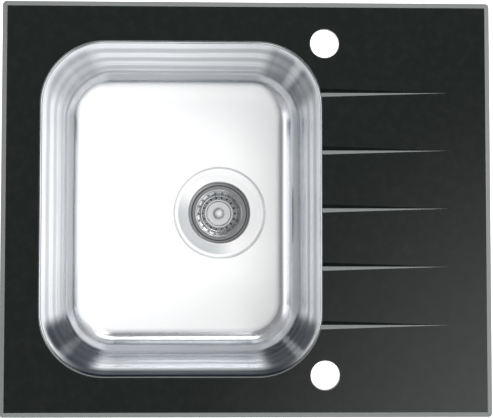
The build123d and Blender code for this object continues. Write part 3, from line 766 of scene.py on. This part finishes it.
black_rubber = grained_finish(
    "black_rubber",
    tones=((0.018, 0.018, 0.018), (0.036, 0.036, 0.037)),
    rough=(0.48, 0.66),
    bump=(0.02 * MM, 0.4),
    scale=260.0,
)
adhesive = grained_finish(
    "cured_sealant",
    tones=((0.025, 0.025, 0.027), (0.045, 0.045, 0.048)),
    rough=(0.34, 0.50),
    bump=(0.06 * MM, 0.6),
    scale=90.0,
)
damping_pad = grained_finish(
    "bitumen_pad",
    tones=((0.055, 0.055, 0.056), (0.10, 0.10, 0.10)),
    rough=(0.7, 0.92),
    bump=(0.12 * MM, 0.8),
    scale=420.0,
    layer=(mineral_chips, (0.20, 0.19, 0.18)),
)
use_finish(black_rubber, "flange_seal", "body_gasket", "basket_seal")
use_finish(adhesive, "bowl_bond", "rail_bond")
use_finish(damping_pad, "floor_pad")

# %% [markdown]
# Foam is cells and the walls between them, so the distance to a Voronoi cell's
# edge gives it all at once: the pale wall, its height and its rougher look.

# %% Foam
def make_foam_seal():
    """Dark foam with pale cell walls."""
    material, net, shader = new_finish("closed_cell_foam")
    options = {"feature": "DISTANCE_TO_EDGE"}
    cells = net.node("ShaderNodeTexVoronoi", net.here(), options=options, Scale=1500.0)
    to_edge = cells.outputs["Distance"]
    hollow = net.ramp(to_edge, 0.0, 0.18)
    net.wire(
        shader,
        Base_Color=net.blend(hollow, (0.085, 0.085, 0.088), (0.032, 0.032, 0.033)),
        Roughness=net.ramp(to_edge, 0.0, 0.3, 0.75, 0.95),
        Normal=net.relief(hollow, 0.08 * MM, 0.7),
    )
    return material


foam_seal = make_foam_seal()
use_finish(foam_seal, "edge_seal")

# %% [markdown]
# The waste's body and its small inserts are moulded in a white plastic, slightly
# cloudy, with a fine eroded skin from the mould and paler scuffs on the edges.

# %% Moulded plastic of the waste
waste_plastic = grained_finish(
    "moulded_polypropylene",
    tones=((0.74, 0.74, 0.72), (0.82, 0.82, 0.80)),
    rough=(0.36, 0.52),
    bump=(0.02 * MM, 0.5),
    scale=1100.0,
    layer=(layer_of(wear_group, Breakup=160.0), (0.88, 0.88, 0.87)),
)
use_finish(waste_plastic, "waste_body", "screw_bridge", "stem_socket")

# %% [markdown]
# From here on the pieces that a construction model leaves plain are modelled
# again. Each starts as a simple mesh, a Geometry Nodes tree adds what follows a
# rule, such as the draw rings, a thread or a row of rims, and the result is kept
# as a plain mesh that rides on its own body.

# %% Piece helpers
@contextmanager
def shaping(*sources, into):
    """Edit the points and faces of some meshes together and write them into one."""
    shaped = bmesh.new()
    for mesh in sources:
        shaped.from_mesh(mesh)
    yield shaped
    shaped.to_mesh(into)
    shaped.free()


def shade_by_angle(piece, hard_deg):
    """Smooth shading, with a hard edge where faces meet at more than an angle."""
    with shaping(piece.data, into=piece.data) as shaped:
        bmesh.ops.recalc_face_normals(shaped, faces=shaped.faces)
        for face in shaped.faces:
            face.smooth = True
        for edge in shaped.edges:
            edge.smooth = edge.calc_face_angle(pi) < radians(hard_deg)


def ease_edges(shaped, edges, ease):
    """Round edges off by so many mm, as tumbling or a mould leaves them."""
    rounding = {"segments": 2, "profile": 0.6, "affect": "EDGES", "clamp_overlap": True}
    bmesh.ops.bevel(shaped, geom=edges, offset=ease * MM, **rounding)


def drop(thing):
    """Take an object and its mesh out of the file."""
    mesh = thing.data
    bpy.data.objects.remove(thing)
    bpy.data.meshes.remove(mesh)


def merge_into(piece, other):
    """Add another object's mesh to a piece's and drop the other object."""
    with shaping(piece.data, other.data, into=piece.data):
        pass
    drop(other)


def set_piece(piece, body, slot_name, material, *stands_for, hard_deg=38):
    """Give a piece its shading, finish and body, and hide what it stands for; the slot name is not used."""
    shade_by_angle(piece, hard_deg)
    piece.data.materials.clear()
    piece.data.materials.append(material)
    for face in piece.data.polygons:
        face.material_index = 0
    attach(piece, body)
    if stands_for:
        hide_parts(*stands_for)
    print(piece.name, "rides on", body, "with", len(piece.data.polygons), "faces")


# %% [markdown]
# A Geometry Nodes tree takes a mesh and named sizes, and ends by making its
# copies real and giving them their finish. A modifier runs it, with each input set
# by its identifier, and then the result replaces the mesh and the modifier goes.

# %% Grow a piece by a rule
def geometry_tree(name, **inputs):
    """An empty Geometry Nodes tree with named inputs between its geometry and its finish."""
    return new_tree(
        name, "GeometryNodeTree", {"Geometry": "Geometry"}, Geometry="Geometry", **inputs, Finish="Material"
    )


def close_tree(net, last_node, given, result):
    """The end that every tree has: real instances, then the finish; the whole tree."""
    real = net.node("GeometryNodeRealizeInstances", last_node.outputs[0])
    finish = net.node("GeometryNodeSetMaterial", real.outputs[0], Material=given["Finish"])
    net.feed(result[0], finish.outputs[0])
    print("tree:", net.tree.name)
    return net.tree


def grow(piece, tree, **values):
    """Run a Geometry Nodes tree on a piece and keep the result as a plain mesh."""
    modifier = piece.modifiers.new(tree.name, "NODES")
    modifier.node_group = tree
    for item in tree.interface.items_tree:
        key = item.name.replace(" ", "_")
        if item.in_out == "INPUT" and key in values:
            modifier[item.identifier] = values[key]
    graph = bpy.context.evaluated_depsgraph_get()
    grown = bpy.data.meshes.new_from_object(piece.evaluated_get(graph), depsgraph=graph)
    piece.modifiers.remove(modifier)
    plain = piece.data
    piece.data = grown
    bpy.data.meshes.remove(plain)
    grown.name = piece.name


# %% [markdown]
# Round pieces are a profile turned about an upright axis. The profile is either a
# closed line, as for a pipe, or starts and ends on the axis, as for a knob, and
# then a fan of faces closes each end.

# %% Turn a profile
def rings_to_faces(rings, columns, closed_profile=True):
    """Quads between rings of equal length, each ring running round the piece."""
    faces = []
    for ring in range(rings if closed_profile else rings - 1):
        above, below = ring * columns, (ring + 1) % rings * columns
        for column in range(columns):
            beside = (column + 1) % columns
            faces.append((above + column, above + beside, below + beside, below + column))
    return faces


def turned_piece(name, profile, axis_x, columns):
    """A profile of (radius, level) in mm turned to a closed piece."""
    solid = profile[0][0] == 0.0
    rings = profile[1:-1] if solid else profile
    turns = [2 * pi * column / columns for column in range(columns)]
    points = [
        (axis_x + radius * MM * cos(turn), radius * MM * sin(turn), level * MM)
        for radius, level in rings
        for turn in turns
    ]
    faces = rings_to_faces(len(rings), columns, closed_profile=not solid)
    if solid:
        for (_, level), first in ((profile[0], 0), (profile[-1], (len(rings) - 1) * columns)):
            points.append((axis_x, 0.0, level * MM))
            faces += [(len(points) - 1, first + i, first + (i + 1) % columns) for i in range(columns)]
    return mesh_piece(name, points, faces)


print("piece helpers ready")

# %% [markdown]
# The real bowl is drawn from one sheet in steps, and each step leaves a soft ring
# in the walls. The lamp's light breaks in those rings, and that gives a drawn bowl
# its silky bands. So the bowl is modelled as the press makes it: a rim that rolls
# over, a drafted wall, a large bend, a dished floor and a recess with rounded
# edges, each column of points running from the flange to the waste's hole and
# back on the outer skin, and then the rings, by a rule.

# %% Sizes of the pressed bowl
SHEET_MM = 0.8
CORNER_MM = 78.0
FLANGE_MM = 12.0
REVEAL_MM = 1.4
RIM_BEND_MM = 3.0
FLOOR_BEND_MM = 33.0
RECESS_DEPTH_MM = 3.0
RECESS_RUN_MM = 2.0
RECESS_TOP_BEND_MM = 1.6
RECESS_BEND_MM = 1.2
draft = radians(5.2)
fall = radians(0.7)
half_across = (bowl_high.x - bowl_low.x) / 2 / MM - FLANGE_MM
half_deep = (bowl_high.y - bowl_low.y) / 2 / MM - FLANGE_MM
flange_top = bowl_high.z / MM
recess_level = bowl_low.z / MM + SHEET_MM
floor_level = recess_level + RECESS_DEPTH_MM
seat_radius = (seat_high.x - seat_low.x) / 2 / MM
hole_radius = seat_radius - 12.0
recess_foot = seat_radius + 4.0
waste_centre = Vector((waste_x / MM, 0.0))
bowl_middle = Vector((bowl_centre.x / MM, bowl_centre.y / MM))
print("opening:", 2 * half_across, 2 * half_deep, "floor at", floor_level, "hole r", hole_radius)

# %% [markdown]
# The opening is a rectangle with quarter circles for corners. The columns stand
# on its line, close together in the corners, where the shape turns, and wider
# apart along the sides.

# %% Columns round the bowl's opening
def opening_feet(arc_steps, straight_step):
    """Places on the opening's line, each with its outward direction."""
    feet = []
    for side_x, side_y, start in ((1, 1, 0), (-1, 1, 90), (-1, -1, 180), (1, -1, 270)):
        reach = Vector((side_x * (half_across - CORNER_MM), side_y * (half_deep - CORNER_MM)))
        for step in range(arc_steps + 1):
            turn = radians(start + 90 * step / arc_steps)
            outward = Vector((cos(turn), sin(turn)))
            feet.append((bowl_middle + reach + outward * CORNER_MM, outward))
        run = 2 * ((half_across if side_x == side_y else half_deep) - CORNER_MM)
        last, outward = feet[-1]
        along = Vector((-outward.y, outward.x))
        parts = round(run / straight_step)
        feet.extend((last + along * (run * part / parts), outward) for part in range(1, parts))
    return feet


feet = opening_feet(26, 9.0)
print("columns:", len(feet))

# %% [markdown]
# A column is drawn in its own upright plane: the flange, the rolled rim, the
# drafted wall and the big bend. Each point keeps the sheet's normal, which gives
# the outer skin and the way that the rings push, and its share of the rings, which
# fade out at the rim and round the bend.

# %% Upper profile of one column
UP = Vector((0.0, 1.0))
WALL_STEPS = 44
RING_START_MM = 14.0
RING_END = radians(74)


def bend_points(centre, radius, first, last, steps, side=1):
    """Places on a bend with the sheet's normal, angles measured from straight up."""
    for step in range(steps + 1):
        angle = first + (last - first) * step / steps
        normal = Vector((sin(angle), cos(angle)))
        yield centre + normal * (radius * side), normal


def softened(share):
    """A share held between 0 and 1, with soft ends."""
    share = min(1.0, max(0.0, share))
    return share * share * (3 - 2 * share)


def stood_up(origin, way, profile):
    """A profile of (place, normal, share) in its upright plane, set out in space."""
    return [
        (origin + way * place.x, place.y, way * normal.x, normal.y, share) for place, normal, share in profile
    ]


def column_profile(foot, outward):
    """Places, normals and the share of the draw rings down one column, and its landing."""
    wall_normal = Vector((cos(draft), sin(draft)))
    steep = pi / 2 - draft

    def on_wall(level):
        return Vector((REVEAL_MM + (flange_top - level) * tan(draft), level))

    rim_end = on_wall(flange_top - RIM_BEND_MM * (1 - sin(draft)))
    # The floor falls to the waste, so the wall's foot is found in a few passes
    foot_level = floor_level
    for _ in range(3):
        wall_end = on_wall(foot_level + FLOOR_BEND_MM * (1 - sin(draft)))
        landing = foot - outward * (wall_end.x + FLOOR_BEND_MM * cos(draft))
        foot_level = floor_level + tan(fall) * (landing - waste_centre).length

    inner = [(Vector((u, flange_top)), UP, 0.0) for u in (-FLANGE_MM, -FLANGE_MM + 0.4, -6.0)]
    rim_centre = rim_end - wall_normal * RIM_BEND_MM
    inner += [(place, normal, 0.0) for place, normal in bend_points(rim_centre, RIM_BEND_MM, 0.0, steep, 7)]
    for step in range(1, WALL_STEPS):
        place = rim_end.lerp(wall_end, step / WALL_STEPS)
        inner.append((place, wall_normal, softened((place - rim_end).length / RING_START_MM)))
    bend_centre = wall_end + wall_normal * FLOOR_BEND_MM
    for place, normal in bend_points(bend_centre, FLOOR_BEND_MM, steep, 0.0, 22, side=-1):
        turned = steep - atan2(normal.x, normal.y)
        inner.append((place, normal, softened(1.0 - turned / RING_END)))
    return stood_up(foot, -outward, inner), landing


# %% [markdown]
# From the wall's foot the column turns towards the waste and stays in the upright
# plane through its axis: down the dished floor, over the recess's edge, down its
# short slope and across its flat to the hole.

# %% Lower profile of one column
def floor_profile(landing):
    """The floor, the recess and the hole's edge, in the upright plane to the waste."""
    away = (landing - waste_centre).normalized()
    far = (landing - waste_centre).length
    slope = atan2(RECESS_DEPTH_MM, RECESS_RUN_MM)
    run = RECESS_RUN_MM / RECESS_DEPTH_MM
    meet = (recess_foot + (floor_level - recess_level) * run) / (1 - tan(fall) * run)
    reach = RECESS_TOP_BEND_MM * tan((slope - fall) / 2)
    top_start = Vector((meet + reach * cos(fall), floor_level + tan(fall) * (meet + reach)))
    top_centre = top_start + Vector((sin(fall), -cos(fall))) * RECESS_TOP_BEND_MM
    foot_centre = Vector((recess_foot - RECESS_BEND_MM * tan(slope / 2), recess_level + RECESS_BEND_MM))
    radii = [far + (top_start.x - far) * part / 9 for part in range(1, 9)]
    profile = [(Vector((radius, floor_level + tan(fall) * radius)), UP) for radius in radii]
    profile += bend_points(top_centre, RECESS_TOP_BEND_MM, -fall, -slope, 6)
    profile += bend_points(foot_centre, RECESS_BEND_MM, -slope, 0.0, 5, side=-1)
    flat = (recess_foot - 7.0, hole_radius + 0.3, hole_radius)
    profile += [(Vector((radius, recess_level)), UP) for radius in flat]
    return stood_up(waste_centre, away, [(*bent, 0.0) for bent in profile])


# %% [markdown]
# All columns have the same number of points, so the same point of every column
# makes a ring, and the rings join to one closed skin, inner side and outer side.
# The push of the draw rings is kept as an attribute for the tree that follows.

# %% Join the columns to a bowl
def build_bowl():
    """The bowl as the press leaves it, still without its draw rings."""
    columns = []
    for foot, outward in feet:
        upper, landing = column_profile(foot, outward)
        inner = upper + floor_profile(landing)
        outer = [
            (place - flat * SHEET_MM, level - rise * SHEET_MM, flat, rise, share)
            for place, level, flat, rise, share in reversed(inner)
        ]
        columns.append(inner + outer)
    points, pushes = [], []
    for ring in zip(*columns):
        for place, level, flat, rise, share in ring:
            points.append((place.x * MM, place.y * MM, level * MM))
            pushes.extend((flat.x * share, flat.y * share, rise * share))
    pressed = mesh_piece("drawn_bowl", points, rings_to_faces(len(columns[0]), len(columns)))
    pressed.data.attributes.new("push", "FLOAT_VECTOR", "POINT").data.foreach_set("vector", pushes)
    return pressed


drawn_bowl = build_bowl()
print("bowl:", len(drawn_bowl.data.polygons), "faces")

# %% [markdown]
# The draw rings are one wave down the wall, with a finer one on it. A seeded noise
# lets them sway a little on their way round, as the real ones do.

# %% Draw rings by a rule
net, given, result = geometry_tree(
    "draw_rings", Top_Level=0.0, Rate=10.0, Crowding=70.0, Phase=0.0, Height=0.0003, Drift=0.3, Seed=4.0
)
place = net.here()
wander = net.noise(place, {"noise_dimensions": "4D"}, W=given["Seed"], Scale=5.0, Detail=1.0)
sway = net.times(net.minus(wander, 0.5), given["Drift"])
depth = net.minus(given["Top Level"], net.split(place)["Z"])
rate = net.add(net.times(depth, given["Crowding"]), given["Rate"])
angle = net.times(net.add(net.times(depth, rate), given["Phase"], sway), 2 * pi)
finer = net.times(net.math("SINE", net.times(angle, 3.1)), 0.06)
rise = net.times(net.add(net.math("SINE", angle), finer), given["Height"])
push = net.node("GeometryNodeInputNamedAttribute", "push", options={"data_type": "FLOAT_VECTOR"})
offset = net.vector("SCALE", push.outputs[0], Scale=rise)
moved = net.node("GeometryNodeSetPosition", given["Geometry"], Offset=offset)
rings_tree = close_tree(net, moved, given, result)

grow(
    drawn_bowl,
    rings_tree,
    Top_Level=flange_top * MM,
    Rate=RING_RATE,
    Crowding=RING_CROWDING,
    Phase=RING_PHASE,
    Height=RING_HEIGHT_MM * MM,
    Drift=0.3,
    Seed=4.0,
    Finish=bowl_steel,
)
set_piece(drawn_bowl, "sink", "bowl_steel", bowl_steel, "bowl")
# The second half of the rings is the outer skin, which is left as it was pressed
drawn_bowl.data.materials.append(pressed_skin)
for face in drawn_bowl.data.polygons[len(drawn_bowl.data.polygons) // 2:]:
    face.material_index = 1

# %% [markdown]
# Threads are what the clamps and the outlet work by, so they are cut here. A
# thread is one rule, the radius follows the level less the turn, and the same tree
# cuts the fine thread of the six bolts and the coarse pipe thread of the outlet.

# %% Thread by a rule
net, given, result = geometry_tree(
    "cut_thread", Axis=NOWHERE, Pitch=0.001, Depth=0.0005, Inside=0.0029, Low=0.0, High=0.05
)
from_axis = net.vector("SUBTRACT", net.here(), given["Axis"])
x, y, level = net.split(from_axis)
outward = net.vector("MULTIPLY", from_axis, (1.0, 1.0, 0.0))
turn = net.over(net.math("ARCTAN2", y, x), 2 * pi)
phase = net.minus(net.over(level, given["Pitch"]), turn)
groove = net.times(net.math("PINGPONG", phase, 0.5), 2.0)
above = net.over(net.minus(level, given["Low"]), given["Pitch"])
below = net.over(net.minus(given["High"], level), given["Pitch"])
fade = net.most(net.least(above, below, 1.0), 0.0)
outside = net.math("GREATER_THAN", net.vector("LENGTH", outward, out="Value"), given["Inside"])
cut = net.times(groove, fade, outside, given["Depth"], -1.0)
offset = net.vector("SCALE", net.vector("NORMALIZE", outward), Scale=cut)
moved = net.node("GeometryNodeSetPosition", given["Geometry"], Offset=offset)
thread_tree = close_tree(net, moved, given, result)

# %% [markdown]
# The bolts and the webs of the waste body are one pattern each, set out many
# times. A mesh of loose points says where, and each copy may turn on by a step.

# %% Stand copies on points by a rule
net, given, result = geometry_tree("stand_on_points", Pattern="Object", Step=0.0)
spots = net.node("GeometryNodeMeshToPoints", given["Geometry"]).outputs[0]
pattern = net.node("GeometryNodeObjectInfo", given["Pattern"]).outputs["Geometry"]
number = net.node("GeometryNodeInputIndex").outputs[0]
turned = net.combine(Z=net.times(number, given["Step"]))
stood = net.node("GeometryNodeInstanceOnPoints", spots, Instance=pattern, Rotation=turned)
stand_tree = close_tree(net, stood, given, result)

# %% [markdown]
# A real profile has no sharp corner: each one is bent or eased by the tool. So a
# profile is given by its corners, each with the radius of its bend, and the places
# on the bends are worked out. A run that takes a thread is divided finely.

# %% Profiles with bent corners
def rounded(path, steps=4):
    """A closed path of (radius, level, bend) with its corners bent."""
    places = []
    for index, (radius, level, bend) in enumerate(path):
        corner = Vector((radius, level))
        back = (Vector(path[index - 1][:2]) - corner).normalized()
        on = (Vector(path[(index + 1) % len(path)][:2]) - corner).normalized()
        half = back.angle(on) / 2
        middle = corner + (back + on).normalized() * (bend / sin(half))
        first, last = (corner + way * (bend / tan(half)) - middle for way in (back, on))
        places += [tuple(middle + first.slerp(last, step / steps) * bend) for step in range(steps + 1)]
    return places


def divided(places, spacing, radius):
    """More places along the upright runs at one radius, for a thread."""
    fine = []
    for index, place in enumerate(places):
        fine.append(place)
        following = places[(index + 1) % len(places)]
        if abs(place[0] - radius) < 1e-4 and abs(following[0] - radius) < 1e-4:
            run = following[1] - place[1]
            parts = max(1, round(abs(run) / spacing))
            fine += [(radius, place[1] + run * part / parts) for part in range(1, parts)]
    return fine


print("profile helpers ready")

# %% [markdown]
# Each clamp hangs on a bolt with a square head that slides in its rail's slot.
# One bolt is enough: a turned shank with fine rows for the thread to cut, and a
# head with eased edges. It then stands wherever the frame has a washer.

# %% Threaded T-head bolts
BOLT_RADIUS_MM = 3.0
BOLT_PITCH_MM = 1.0
THREAD_DEPTH_MM = 0.5
TIP_EASE_MM = 0.9
HEAD_HALF_MM = 4.5
HEAD_HEIGHT_MM = 3.0
bolts_low, bolts_high = corners("clamp_bolts")
bolt_tip = bolts_low.z / MM
head_under = bolts_high.z / MM - HEAD_HEIGHT_MM
shank_low, shank_high = bolt_tip + TIP_EASE_MM, head_under + 0.4
shank_rows = int((head_under - bolt_tip) * 4)
shank = [(0.0, bolt_tip), (2.1, bolt_tip)]
shank_run = shank_high - shank_low
shank += [(BOLT_RADIUS_MM, shank_low + shank_run * row / shank_rows) for row in range(shank_rows + 1)]
shank.append((0.0, head_under + 0.5))


def block(name, low, high, ease):
    """A block between two corners in mm with every edge eased, as a stamping has them."""
    mesh = bpy.data.meshes.new(name)
    with shaping(into=mesh) as shaped:
        bmesh.ops.create_cube(shaped, size=1.0)
        for vertex in shaped.verts:
            for axis in range(3):
                vertex.co[axis] = (low[axis] if vertex.co[axis] < 0 else high[axis]) * MM
        ease_edges(shaped, list(shaped.edges), ease)
    return stand(name, mesh)


bolt_pattern = turned_piece("bolt_pattern", shank, 0.0, 12)
grow(
    bolt_pattern,
    thread_tree,
    Pitch=BOLT_PITCH_MM * MM,
    Depth=THREAD_DEPTH_MM * MM,
    Inside=(BOLT_RADIUS_MM - 0.2) * MM,
    Low=(bolt_tip + 0.5) * MM,
    High=(head_under - 1.0) * MM,
    Finish=zinc_steel,
)
head_low = (-HEAD_HALF_MM, -HEAD_HALF_MM, head_under)
head_high = (HEAD_HALF_MM, HEAD_HALF_MM, head_under + HEAD_HEIGHT_MM)
merge_into(bolt_pattern, block("bolt_head", head_low, head_high, 0.6))

# %% Stand the bolts where the washers are
clamp_names = [name[len("washer_"):] for name in nodes if name.startswith("washer_")]
clamp_spots = []
for name in clamp_names:
    low, high = corners("washer_" + name)
    clamp_spots.append(((low.x + high.x) / 2, (low.y + high.y) / 2, 0.0))
threaded_bolts = mesh_piece("threaded_bolts", clamp_spots)
grow(threaded_bolts, stand_tree, Pattern=bolt_pattern, Finish=zinc_steel)
drop(bolt_pattern)
set_piece(threaded_bolts, "sink", "zinc_steel", zinc_steel, "clamp_bolts", hard_deg=50)

# %% [markdown]
# The waste's body is moulded in white plastic: a flange under the gasket, a cup
# round the seat, a funnel and an outlet with the pipe thread that the trap's nut
# takes. It is a profile with bent corners, turned, and then its thread is cut.

# %% Waste body with its pipe thread
PIPE_PITCH_MM = 2.309
PIPE_DEPTH_MM = 1.4
CUP_INNER_MM, CUP_OUTER_MM = 44.2, 48.1
PIPE_INNER_MM, PIPE_OUTER_MM = 20.0, 23.9
body_flange = (body_high.x - body_low.x) / 2 / MM
body_top = body_high.z / MM
outlet_end = body_low.z / MM
funnel_top, funnel_bottom = outlet_end + 40.0, outlet_end + 24.0
body_path = rounded(
    [
        (PIPE_INNER_MM, outlet_end, 0.5),
        (PIPE_OUTER_MM, outlet_end, 0.9),
        (PIPE_OUTER_MM, funnel_bottom - 2.1, 1.6),
        (CUP_OUTER_MM, funnel_top - 2.09, 8.4),
        (CUP_OUTER_MM, body_top - 4.0, 1.2),
        (body_flange, body_top - 4.0, 0.7),
        (body_flange, body_top, 0.7),
        (CUP_INNER_MM, body_top, 0.4),
        (CUP_INNER_MM, funnel_top, 4.5),
        (PIPE_INNER_MM, funnel_bottom, 2.5),
    ]
)
body_path = divided(body_path, PIPE_PITCH_MM / 6, PIPE_OUTER_MM)
moulded_body = turned_piece("moulded_waste_body", body_path, waste_x, 96)
grow(
    moulded_body,
    thread_tree,
    Axis=(waste_x, 0.0, 0.0),
    Pitch=PIPE_PITCH_MM * MM,
    Depth=PIPE_DEPTH_MM * MM,
    Inside=(PIPE_OUTER_MM - 0.3) * MM,
    Low=(outlet_end + 0.8) * MM,
    High=(funnel_bottom - 4.0) * MM,
    Finish=waste_plastic,
)

# %% [markdown]
# Webs under the flange keep it flat when the nut is drawn up. One web is a thin
# tapered plate that runs down the cup, and the tree turns it round the axis.

# %% Webs under the flange
WEB_COUNT = 20
# Each corner of a web: radius, half its thickness and how far it is below the top
WEB_CORNERS = (
    (CUP_OUTER_MM - 0.8, 1.0, 4.6),
    (body_flange - 1.4, 0.7, 4.6),
    (body_flange - 1.4, 0.7, 6.0),
    (CUP_OUTER_MM + 2.2, 0.7, 20.0),
    (CUP_OUTER_MM + 0.5, 0.7, 34.0),
    (CUP_OUTER_MM - 0.8, 1.0, 35.0),
)
web_points = [
    (radius * MM, side * half * MM, (body_top - below) * MM)
    for side in (-1, 1)
    for radius, half, below in WEB_CORNERS
]
web_sides = [(0, 1, 2, 3, 4, 5), (11, 10, 9, 8, 7, 6)]
web_edge = [(i, i + 6, (i + 1) % 6 + 6, (i + 1) % 6) for i in range(6)]
web = mesh_piece("web_pattern", web_points, web_sides + web_edge)
webs = mesh_piece("body_webs", [(waste_x, 0.0, 0.0)] * WEB_COUNT)
grow(webs, stand_tree, Pattern=web, Step=2 * pi / WEB_COUNT, Finish=waste_plastic)
drop(web)
merge_into(moulded_body, webs)
set_piece(moulded_body, "sink", "waste_plastic", waste_plastic, "waste_body", hard_deg=42)

# %% [markdown]
# The basket's holes are punched, and the punch leaves a small rolled rim round
# each. The rims catch the light, so they are modelled: one ring, set out round
# the floor row and round the wall row, where it leans with the wall.

# %% Rims of the punched holes by a rule
sizes_of_row = {"Count": 18, "Row_Radius": 0.02, "Centre": NOWHERE, "Tilt": 0.0, "Start": 0.0}
net, given, result = geometry_tree("hole_rims", **sizes_of_row, Hole=0.0016, Wire=0.0002)
row = net.node("GeometryNodeMeshCircle", given["Count"], given["Row Radius"]).outputs[0]
spin = net.combine(Z=given["Start"])
spun = net.node("GeometryNodeTransform", row, Translation=given["Centre"], Rotation=spin).outputs[0]
hole, wire = (
    net.node("GeometryNodeCurvePrimitiveCircle", Resolution=sides, Radius=given[size]).outputs[0]
    for size, sides in (("Hole", 14), ("Wire", 5))
)
ring = net.node("GeometryNodeCurveToMesh", hole, wire).outputs[0]
x, y, _ = net.split(net.vector("SUBTRACT", net.here(), given["Centre"]))
attitude = net.combine(Y=given["Tilt"], Z=net.math("ARCTAN2", y, x))
set_out = net.node("GeometryNodeInstanceOnPoints", spun, Instance=ring, Rotation=attitude)
rim_tree = close_tree(net, set_out, given, result)

# %% Rims of the floor row and the wall row
HOLES_IN_ROW = 18
HOLE_MM = 1.72
WIRE_MM = 0.26
basket_floor = basket_high.z / MM - 21.0
wall_lean = pi / 2 - atan2(5.5, 21.0)


def rim_row(name, row_radius, rise, tilt, start):
    """A row of rims, its radius and its height above the basket's floor in mm."""
    row = mesh_piece(name, [NOWHERE])
    grow(
        row,
        rim_tree,
        Count=HOLES_IN_ROW,
        Row_Radius=row_radius * MM,
        Centre=(waste_x, 0.0, (basket_floor + rise) * MM),
        Tilt=tilt,
        Start=start,
        Hole=HOLE_MM * MM,
        Wire=WIRE_MM * MM,
        Finish=basket_steel,
    )
    return row


rims = rim_row("hole_rims", 22.5, 0.02, 0.0, 0.0)
merge_into(rims, rim_row("wall_rims", 27.6, 6.3, -wall_lean, pi / HOLES_IN_ROW))
set_piece(rims, "basket", "polished_steel", basket_steel, hard_deg=80)

# %% [markdown]
# The basket is lifted by its knob, a small turned ball on a foot with two fine
# rings. A lathe makes it from a bar, so here too it is a profile turned round.

# %% Turned knob
BALL_RADIUS_MM = 6.0
# Each place on the foot: radius and height above its underside
KNOB_FOOT_MM = (
    (0.0, 6.0), (2.55, 6.0), (2.55, 0.0), (7.7, 0.0), (8.0, 0.3), (8.0, 0.7), (7.7, 1.0),
    (6.6, 1.05), (6.4, 0.85), (6.1, 0.85), (5.9, 1.25), (4.2, 1.7), (3.6, 2.3), (3.5, 3.2),
)
ball_level = knob_high.z / MM - BALL_RADIUS_MM
knob_profile = [(radius, knob_low.z / MM + rise) for radius, rise in KNOB_FOOT_MM]
for step in range(1, 15):
    angle = radians(-54.3 + 138.3 * step / 14)
    knob_profile.append((BALL_RADIUS_MM * cos(angle), ball_level + BALL_RADIUS_MM * sin(angle)))
knob_profile += [(0.35, ball_level + 0.985 * BALL_RADIUS_MM), (0.0, ball_level + 0.975 * BALL_RADIUS_MM)]
turned_knob = turned_piece("turned_knob", knob_profile, waste_x, 40)
set_piece(turned_knob, "basket", "polished_steel", turned_steel, "basket_knob", hard_deg=30)

# %% [markdown]
# Where the glass sits on the steel flange a fine bead of the black sealant is
# squeezed out under the cut edge. It is never quite even, so the tree that sweeps
# it also makes it swell and thin a little along its way.

# %% Sealant bead
net, given, result = geometry_tree("bead_on_path", Radius=0.0005, Unevenness=0.1, Seed=2.0)
path = net.node("GeometryNodeMeshToCurve", given["Geometry"]).outputs[0]
swell = net.noise(net.here(), {"noise_dimensions": "4D"}, W=given["Seed"], Scale=90.0)
thick = net.add(net.times(net.minus(swell, 0.5), given["Unevenness"]), 1.0)
bead_round = net.node("GeometryNodeCurvePrimitiveCircle", Resolution=8, Radius=given["Radius"]).outputs[0]
swept = net.node("GeometryNodeCurveToMesh", path, bead_round, thick)
bead_tree = close_tree(net, swept, given, result)

BEAD_LEVEL_MM = 1.5
BEAD_RADIUS_MM = 0.55
BEAD_OUT_MM = 0.45
bead_line = [(foot + outward * BEAD_OUT_MM) * MM for foot, outward in opening_feet(18, 6.0)]
sealant_bead = mesh_piece(
    "sealant_bead",
    [(place.x, place.y, BEAD_LEVEL_MM * MM) for place in bead_line],
    edges=[(i, (i + 1) % len(bead_line)) for i in range(len(bead_line))],
)
grow(sealant_bead, bead_tree, Radius=BEAD_RADIUS_MM * MM, Unevenness=0.25, Seed=2.0, Finish=adhesive)
set_piece(sealant_bead, "sink", "adhesive", adhesive, hard_deg=80)

# %% [markdown]
# The clamps are stampings and small castings. Tumbling takes their sharp edges
# off, and the plating rounds them a little more, so each claw, washer and wing nut
# is its construction shape with eased edges, riding on the body it turns with.

# %% Eased clamp parts
EASE_MM = {"claw_": 0.3, "washer_": 0.2, "wing_nut_": 0.35}
SHARP_DEG = 48


def eased(name, source, ease):
    """A copy of a construction node with its points merged and its edges eased."""
    mesh = bpy.data.meshes.new(name)
    with shaping(nodes[source].data, into=mesh) as shaped:
        bmesh.ops.remove_doubles(shaped, verts=shaped.verts, dist=1e-6)
        flat = {"angle_limit": radians(1.0), "delimit": {"NORMAL"}}
        bmesh.ops.dissolve_limit(shaped, verts=shaped.verts, edges=shaped.edges, **flat)
        sharp = [edge for edge in shaped.edges if edge.calc_face_angle(0.0) > radians(SHARP_DEG)]
        ease_edges(shaped, sharp, ease)
        bmesh.ops.triangulate(shaped, faces=[face for face in shaped.faces if len(face.verts) > 4])
    return stand(name, mesh)


for part, ease in EASE_MM.items():
    for clamp in clamp_names:
        source = part + clamp
        piece = eased("eased_" + source, source, ease)
        set_piece(piece, source, "zinc_steel", zinc_steel, source, hard_deg=40)
